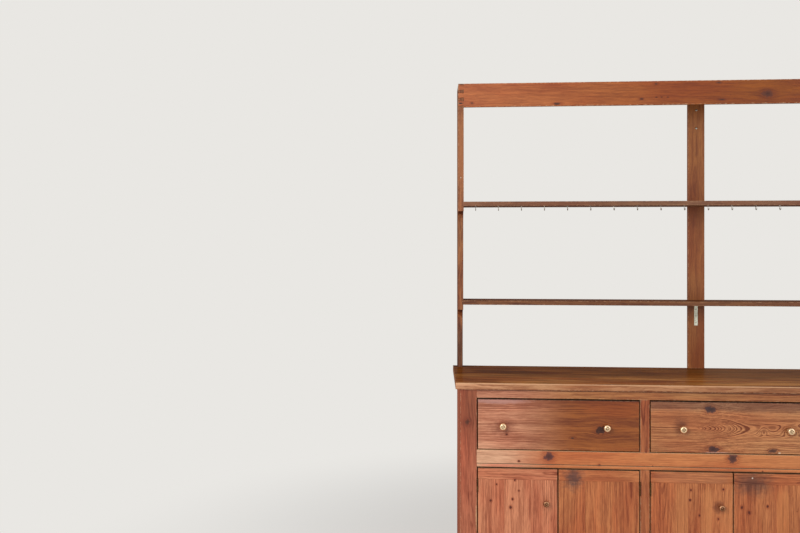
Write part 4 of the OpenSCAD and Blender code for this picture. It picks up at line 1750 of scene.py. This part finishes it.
@dataclass
class ShelfFrame:
    """The open shelves on the worktop: end boards, post, fascia, shelves and hooks."""

    body: str = "cabinet"
    arris: float = 1.2 * MM
    post_arris: float = 1.6 * MM
    hook_arris: float = 0.1 * MM
    corner_lines: tuple[float, ...] = (2.192, 2.139)
    corner_line_end: float = 8 * MM
    dashes: tuple[float, ...] = (-0.238, -0.214, -0.187)
    post_screws: tuple[float, ...] = (2.122, 2.036)
    post_screw: tuple[float, float] = (5.5 * MM, 2.2 * MM)
    post_screw_sunk: float = 0.2 * MM
    end_screw_z: float = 1.796
    end_screw: tuple[float, float] = (3.5 * MM, 0.5 * MM)
    end_screw_sunk: float = 0.4 * MM
    bracket_middle: float = -10 * MM
    bracket_width: float = 16 * MM
    bracket_leg: float = 100 * MM
    bracket_thickness: float = 2.5 * MM
    bracket_edge: float = 0.3 * MM
    bracket_screws: tuple[float, ...] = (0.25, 0.55, 0.85)
    bracket_screw: tuple[float, float] = (4 * MM, 1.2 * MM)

    def build(self) -> None:
        """Build every piece of the shelf frame."""
        self.fascia()
        boards = {"left_end_board": (Lay.PANEL, SHELF_SIDE), "right_end_board": (Lay.PANEL, SHELF_SIDE),
                  "top_board": (Lay.TOP, SHELF_SIDE), "upper_shelf": (Lay.TOP, UPPER_SHELF),
                  "lower_shelf": (Lay.TOP, SHELF)}
        pale = {"left_end_board": (Mark(-1.12, 1.93, 0.1, 0.23, "ae6d3f", 0.6, 0.5, "MIX"),
                                   Mark(-1.12, 0.96, 0.1, 0.16, "bcc6ee", 0.75, 0.3))}
        for seed, (name, (lay, finish)) in enumerate(boards.items(), 150):
            timber = Timber(name + "_wood", Box.of(name), seed)
            timber.fitted(name, lay, self.arris)
            timber.place(finish, self.body, name, Traits(marks=pale.get(name, ())), lay)
        box = Box.of("middle_post")
        post = Timber("middle_post_board", box, seed=160)
        post.board(box, Lay.STILE, self.post_arris)
        post.place(POST, self.body, "middle_post")
        add_hardware("cup_hooks", self.body, HOOK_STEEL, self.hook_arris)
        self.screws()
        self.bracket()

    def fascia(self) -> None:
        """Build the fascia, with dark lines where its corner joints have opened."""
        box = Box.of("fascia")
        end = box.low.x + self.corner_line_end
        marks = [Mark(end, z, 16 * MM, 4 * MM, "34160e", 0.95, 0.15) for z in self.corner_lines]
        marks += [Mark(x, 2.156, 7 * MM, 2.4 * MM, "5a2c1c", 0.9, 0.3) for x in self.dashes]
        knots = (Knot(0.252, 2.165, 17 * MM, 1.5, "622a12"), Knot(0.052, 2.142, 4 * MM, 3.5, "54281a"),
                 Knot(-0.303, 2.149, 4 * MM, 2.2, "54281a"), Knot(-0.239, 2.217, 4 * MM, 2.5, "6b3a22"),
                 Knot(0.038, 2.219, 4 * MM, 2.5, "6b3a22"), Knot(-0.682, 2.132, 6 * MM, 2.8, "5c3020"),
                 Knot(-1.068, 2.140, 4 * MM, 1.8, "7c4426"))
        timber = Timber("fascia_wood", box, seed=149)
        timber.fitted("fascia", Lay.RAIL, self.arris)
        timber.place(FASCIA, self.body, "fascia", Traits(knots=knots, marks=tuple(marks)), Lay.RAIL)

    def screws(self) -> None:
        """Drive the screws that show in the post and the left end board."""
        mesh = metal_mesh()
        post, end = Box.of("middle_post"), Box.of("left_end_board")
        for z in self.post_screws:
            foot = Vector((post.centre.x, post.low.y + self.post_screw_sunk, z))
            add_screw(mesh, foot, FORWARD, *self.post_screw)
        foot = Vector((end.centre.x, end.low.y + self.end_screw_sunk, self.end_screw_z))
        add_screw(mesh, foot, FORWARD, *self.end_screw)
        made_piece("frame_screws", mesh, HOOK_STEEL.material(), self.body)

    def bracket(self) -> None:
        """Bend the small bracket that holds the lower shelf to the post, and screw it on."""
        mesh = metal_mesh()
        x, y, z = self.bracket_middle, Box.of("middle_post").low.y, Box.of("lower_shelf").low.z
        leg, thin = self.bracket_leg, self.bracket_thickness
        outline = ((0.0, 0.0), (leg, 0.0), (leg, thin), (2 * thin, thin), (thin, 2 * thin), (thin, leg),
                   (0.0, leg))
        ends = []
        for side in (x - self.bracket_width / 2, x + self.bracket_width / 2):
            ends.append([mesh.verts.new((side, y - out, z - down)) for out, down in outline])
            mesh.faces.new(ends[-1])
        join_rings(mesh, ends)
        bmesh.ops.recalc_face_normals(mesh, faces=mesh.faces)
        round_edges(mesh, mesh.edges, self.bracket_edge)
        for share in self.bracket_screws:
            for foot, axis in ((Vector((x, y - thin, z - share * leg)), FORWARD),
                               (Vector((x, y - share * leg, z - thin)), DOWN)):
                add_screw(mesh, foot, axis, *self.bracket_screw)
        made_piece("shelf_bracket", mesh, BRACKET_STEEL.material(), self.body)


@dataclass(frozen=True)
class Lamp:
    """One square lamp, with its power in watts."""

    name: str
    place: tuple[float, float, float]
    aim: tuple[float, float, float]
    size: float
    power: float
    colour: str

    def hang(self) -> None:
        """Hang the lamp and turn it to its aim."""
        data = bpy.data.lights.new(self.name, "AREA")
        data.shape = "SQUARE"
        data.size = self.size
        data.energy = self.power
        data.color = tint(self.colour)[:3]
        lamp = in_scene(self.name, data)
        lamp.location = self.place
        lamp.rotation_euler = (Vector(self.aim) - Vector(self.place)).to_track_quat("-Z", "Y").to_euler()


WINDOW_LIGHT = Lamp("window light", (-3.2, -4.0, 2.8), (-0.2, 0.0, 1.1), 2.4, 118.0, "fffaf4")
FILL_LIGHT = Lamp("fill light", (3.4, -4.4, 2.2), (0.3, 0.0, 1.0), 2.8, 34.0, "f4f6ff")


@dataclass
class Studio:
    """The pale floor, the soft light and the camera."""

    pale: str = "e9e7e3"
    sky_colour: str = "f4f6fa"
    sky: float = 0.5
    floor_reach: float = 60.0
    shadow_core: float = 1.28
    shadow_reach: float = 3.2
    camera_aside: float = 0.1107
    camera_back: float = 4.4724
    camera_height: float = 1.503
    camera_turn: float = 5.45
    sensor: float = 36.0
    focal: float = 1040.0
    frame_width: float = 800.0
    frame_height: float = 533.0
    centre: tuple[float, float] = (335.0, 241.0)

    def build(self) -> None:
        """Set up everything round the dresser."""
        self.world()
        self.floor()
        WINDOW_LIGHT.hang()
        FILL_LIGHT.hang()
        self.camera()
        bpy.context.scene.view_settings.view_transform = "Standard"

    def _seen(self, shade: Shade) -> Socket:
        """Tell the rays that see the background from those that light the dresser.

        Args:
            shade: Nodes of the background or floor.

        Returns:
            1 for a ray that sees it, 0 for one that lights the dresser.
        """
        path = shade.add("ShaderNodeLightPath").outputs
        seen = shade.sum("MAXIMUM", path["Is Camera Ray"], path["Is Glossy Ray"])
        return shade.sum("MAXIMUM", seen, path["Is Transmission Ray"])

    def world(self) -> None:
        """Make the pale background and the soft light from all round."""
        world = bpy.data.worlds.new("studio")
        bpy.context.scene.world = world
        shade = Shade.fresh(world)
        light = shade.add("ShaderNodeBackground", {"Color": tint(self.sky_colour), "Strength": self.sky})
        back = shade.add("ShaderNodeBackground", {"Color": tint(self.pale)})
        shade.show(shade.mixed(self._seen(shade), light, back), "ShaderNodeOutputWorld")

    def floor(self) -> None:
        """Lay a pale floor that fades into the background far from the dresser."""
        mesh = bmesh.new()
        bmesh.ops.create_grid(mesh, x_segments=1, y_segments=1, size=self.floor_reach)
        data = bpy.data.meshes.new("floor")
        mesh.to_mesh(data)
        mesh.free()
        floor = in_scene("floor", data)
        floor.location.z = -1 * MM
        material = bpy.data.materials.new("pale floor")
        shade = Shade.fresh(material)
        here = shade.add("ShaderNodeTexCoord").outputs["Object"]
        length = shade.add("ShaderNodeVectorMath", {"Vector": here}, operation="LENGTH").outputs["Value"]
        fade = shade.rise(length, Step(self.shadow_core, self.shadow_reach, 0.5, 1.0))
        plain = shade.add("ShaderNodeBsdfDiffuse", {"Color": tint(self.pale)})
        glow = shade.add("ShaderNodeEmission", {"Color": tint(self.pale)})
        shade.show(shade.mixed(shade.product(fade, self._seen(shade)), plain, glow))
        data.materials.append(material)

    def camera(self) -> None:
        """Stand the camera where the photograph was taken from."""
        data = bpy.data.cameras.new("camera")
        data.sensor_width = self.sensor
        data.lens = self.focal / self.frame_width * self.sensor
        data.shift_x = 0.5 - self.centre[0] / self.frame_width
        data.shift_y = (self.centre[1] - self.frame_height / 2) / self.frame_width
        camera = in_scene("camera", data)
        corner = Box.of("left_end_stile").low
        camera.location = (corner.x - self.camera_aside, corner.y - self.camera_back, self.camera_height)
        camera.rotation_euler = (math.radians(90), 0.0, math.radians(self.camera_turn))
        bpy.context.scene.camera = camera


def drawers() -> list[Drawer]:
    """List the three drawers with the knots and stains that show on them.

    Returns:
        The drawers, from left to right.
    """
    return [
        # Drawer 1: its pale, pink left is painted light, and its darker right is partly a painted shadow.
        Drawer(1, replace(DRAWER, wash="fff0f2", right_wash_and_light="b6864e", fade=(-0.98, -0.64), contrast=0.85,
                          streaks=0.5), painted_shade=0.15, traits=Traits(
            knots=(Knot.pin(-0.9344, 0.681, 5 * MM), Knot(-0.5415, 0.706, 19 * MM, 1.15, "300c06"),
                   Knot(-0.6585, 0.670, 3.5 * MM, 3.0)),
            marks=(Mark(-0.950, 0.712, 62 * MM, 44 * MM, "b48c80", 0.75, 0.7, edge=Mark.SOFT),
                   # Pale pink band at the top left: painted highlight.
                   Mark(-0.970, 0.824, 0.150, 16 * MM, "c0948c", 0.55, 0.4, "MIX")))),
        Drawer(2, replace(DRAWER, wash="f4dcb8", ring=3.0 * MM, contrast=1.35, streaks=0.4, bands=0.12,
                          breaks=0.3, deep="80482a"), painted_shade=0.85, traits=Traits(
            knots=(Knot(-0.0914, 0.799, 15 * MM, 1.4, "4a3436"),
                   Knot(-0.0801, 0.633, 13 * MM, 1.8, "46292a"),
                   Knot(0.1585, 0.631, 10 * MM, 1.8, "5c3a2e")),
            marks=(Mark(-0.215, 0.725, 34 * MM, 48 * MM, "a89cae", 0.75, 0.6, edge=Mark.SOFT),
                   Mark(-0.070, 0.6195, 65 * MM, 2.5 * MM, "d8b0a0", 0.6, 0.5, "MIX"),
                   Mark(0.185, 0.6225, 7 * MM, 3.5 * MM, "f0d8b8", 0.8, 0.3, "MIX")),
            swells=(Swell(0.122, 0.709, 18 * MM, 15 * MM, 13 * MM),
                    Swell(0.235, 0.712, 50 * MM, 24 * MM, 22 * MM)),
            climb=Climb(-0.180, 0.080, 40 * MM)), heart=Heart(across=-3 * MM, behind=4 * MM, shift=3.7)),
        Drawer(3, DRAWER),
    ]


def doors() -> list[Door]:
    """List the six doors with the knots and stains that show on them.

    Returns:
        The doors, from left to right.
    """
    square, crisp, softest = Mark.SQUARE, Mark.CRISP, Mark.SOFTEST
    return [
        # Door 1's paler, pinker wash is painted light on the left bay.
        Door(1, replace(DOOR, wash="f8d0c2"), Traits(
            knots=(Knot.pin(-0.9775, 0.467, 3.5 * MM), Knot.pin(-0.9005, 0.487),
                   Knot.pin(-0.8835, 0.442, 3.5 * MM), Knot.pin(-1.0025, 0.398, 5 * MM),
                   Knot.pin(-0.9105, 0.406), Knot.pin(-0.9185, 0.371, 5.5 * MM)))),
        Door(2, DOOR, tones=(-0.3, 0.2, -0.2), traits=Traits(
            marks=(Mark(-0.6545, 0.500, 44 * MM, 56 * MM, "8b9fe3", 0.95, 0.75, edge=softest),))),
        Door(3, DOOR, tones=(0.3, -1.0, 0.2), traits=Traits(
            knots=(Knot.pin(-0.1725, 0.461), Knot.pin(-0.1765, 0.419), Knot.pin(-0.1375, 0.355),
                   Knot.pin(-0.0405, 0.466, 5 * MM), Knot.pin(-0.0615, 0.343)),
            marks=(Mark(-0.060, 0.392, 30 * MM, 30 * MM, "a08c98", 0.7),
                   Mark(-0.170, 0.512, 0.17, 26 * MM, "cc946c", 0.15, 0.2, "MIX", square, crisp),
                   Mark(-0.209, 0.3175, 26 * MM, 0.172, "dc9058", 0.35, 0.12, "MIX", square, crisp),
                   Mark(-0.1105, 0.3175, 25 * MM, 0.172, "e0945a", 0.4, 0.12, "MIX", square, crisp)))),
        Door(4, DOOR, tones=(0.3, -0.2, -0.6), traits=Traits(
            knots=(Knot.pin(0.0335, 0.393, 6 * MM), Knot.pin(0.0635, 0.372, 6 * MM),
                   Knot.pin(0.1375, 0.399, 6 * MM)),
            marks=(Mark(0.075, 0.494, 92 * MM, 60 * MM, "a4b2de", 0.95, 0.6, edge=softest),
                   Mark(0.0765, 0.516, 3.5 * MM, 3.5 * MM, "f4e4d0", 0.9, 0.2, "MIX"),
                   Mark(0.1985, 0.3175, 28 * MM, 0.172, "d88c50", 0.4, 0.12, "MIX", square, crisp)))),
        Door(5, DOOR),
        Door(6, DOOR),
    ]


def main() -> None:
    """Build the dresser and its studio; each piece of the looks logs its count of faces."""
    logging.basicConfig(level=logging.INFO, format="%(name)s: %(message)s")
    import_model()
    Studio().build()
    BaseCabinet().build()
    for moving in (*drawers(), *doors()):
        moving.build()
    screws = [screw for number in range(1, 7) for screw in HingeScrews().places(number, moving=False)]
    add_hardware("frame_hinges", "cabinet", HINGE_BRASS, screws=screws)
    ShelfFrame().build()


if __name__ == "__main__":
    main()
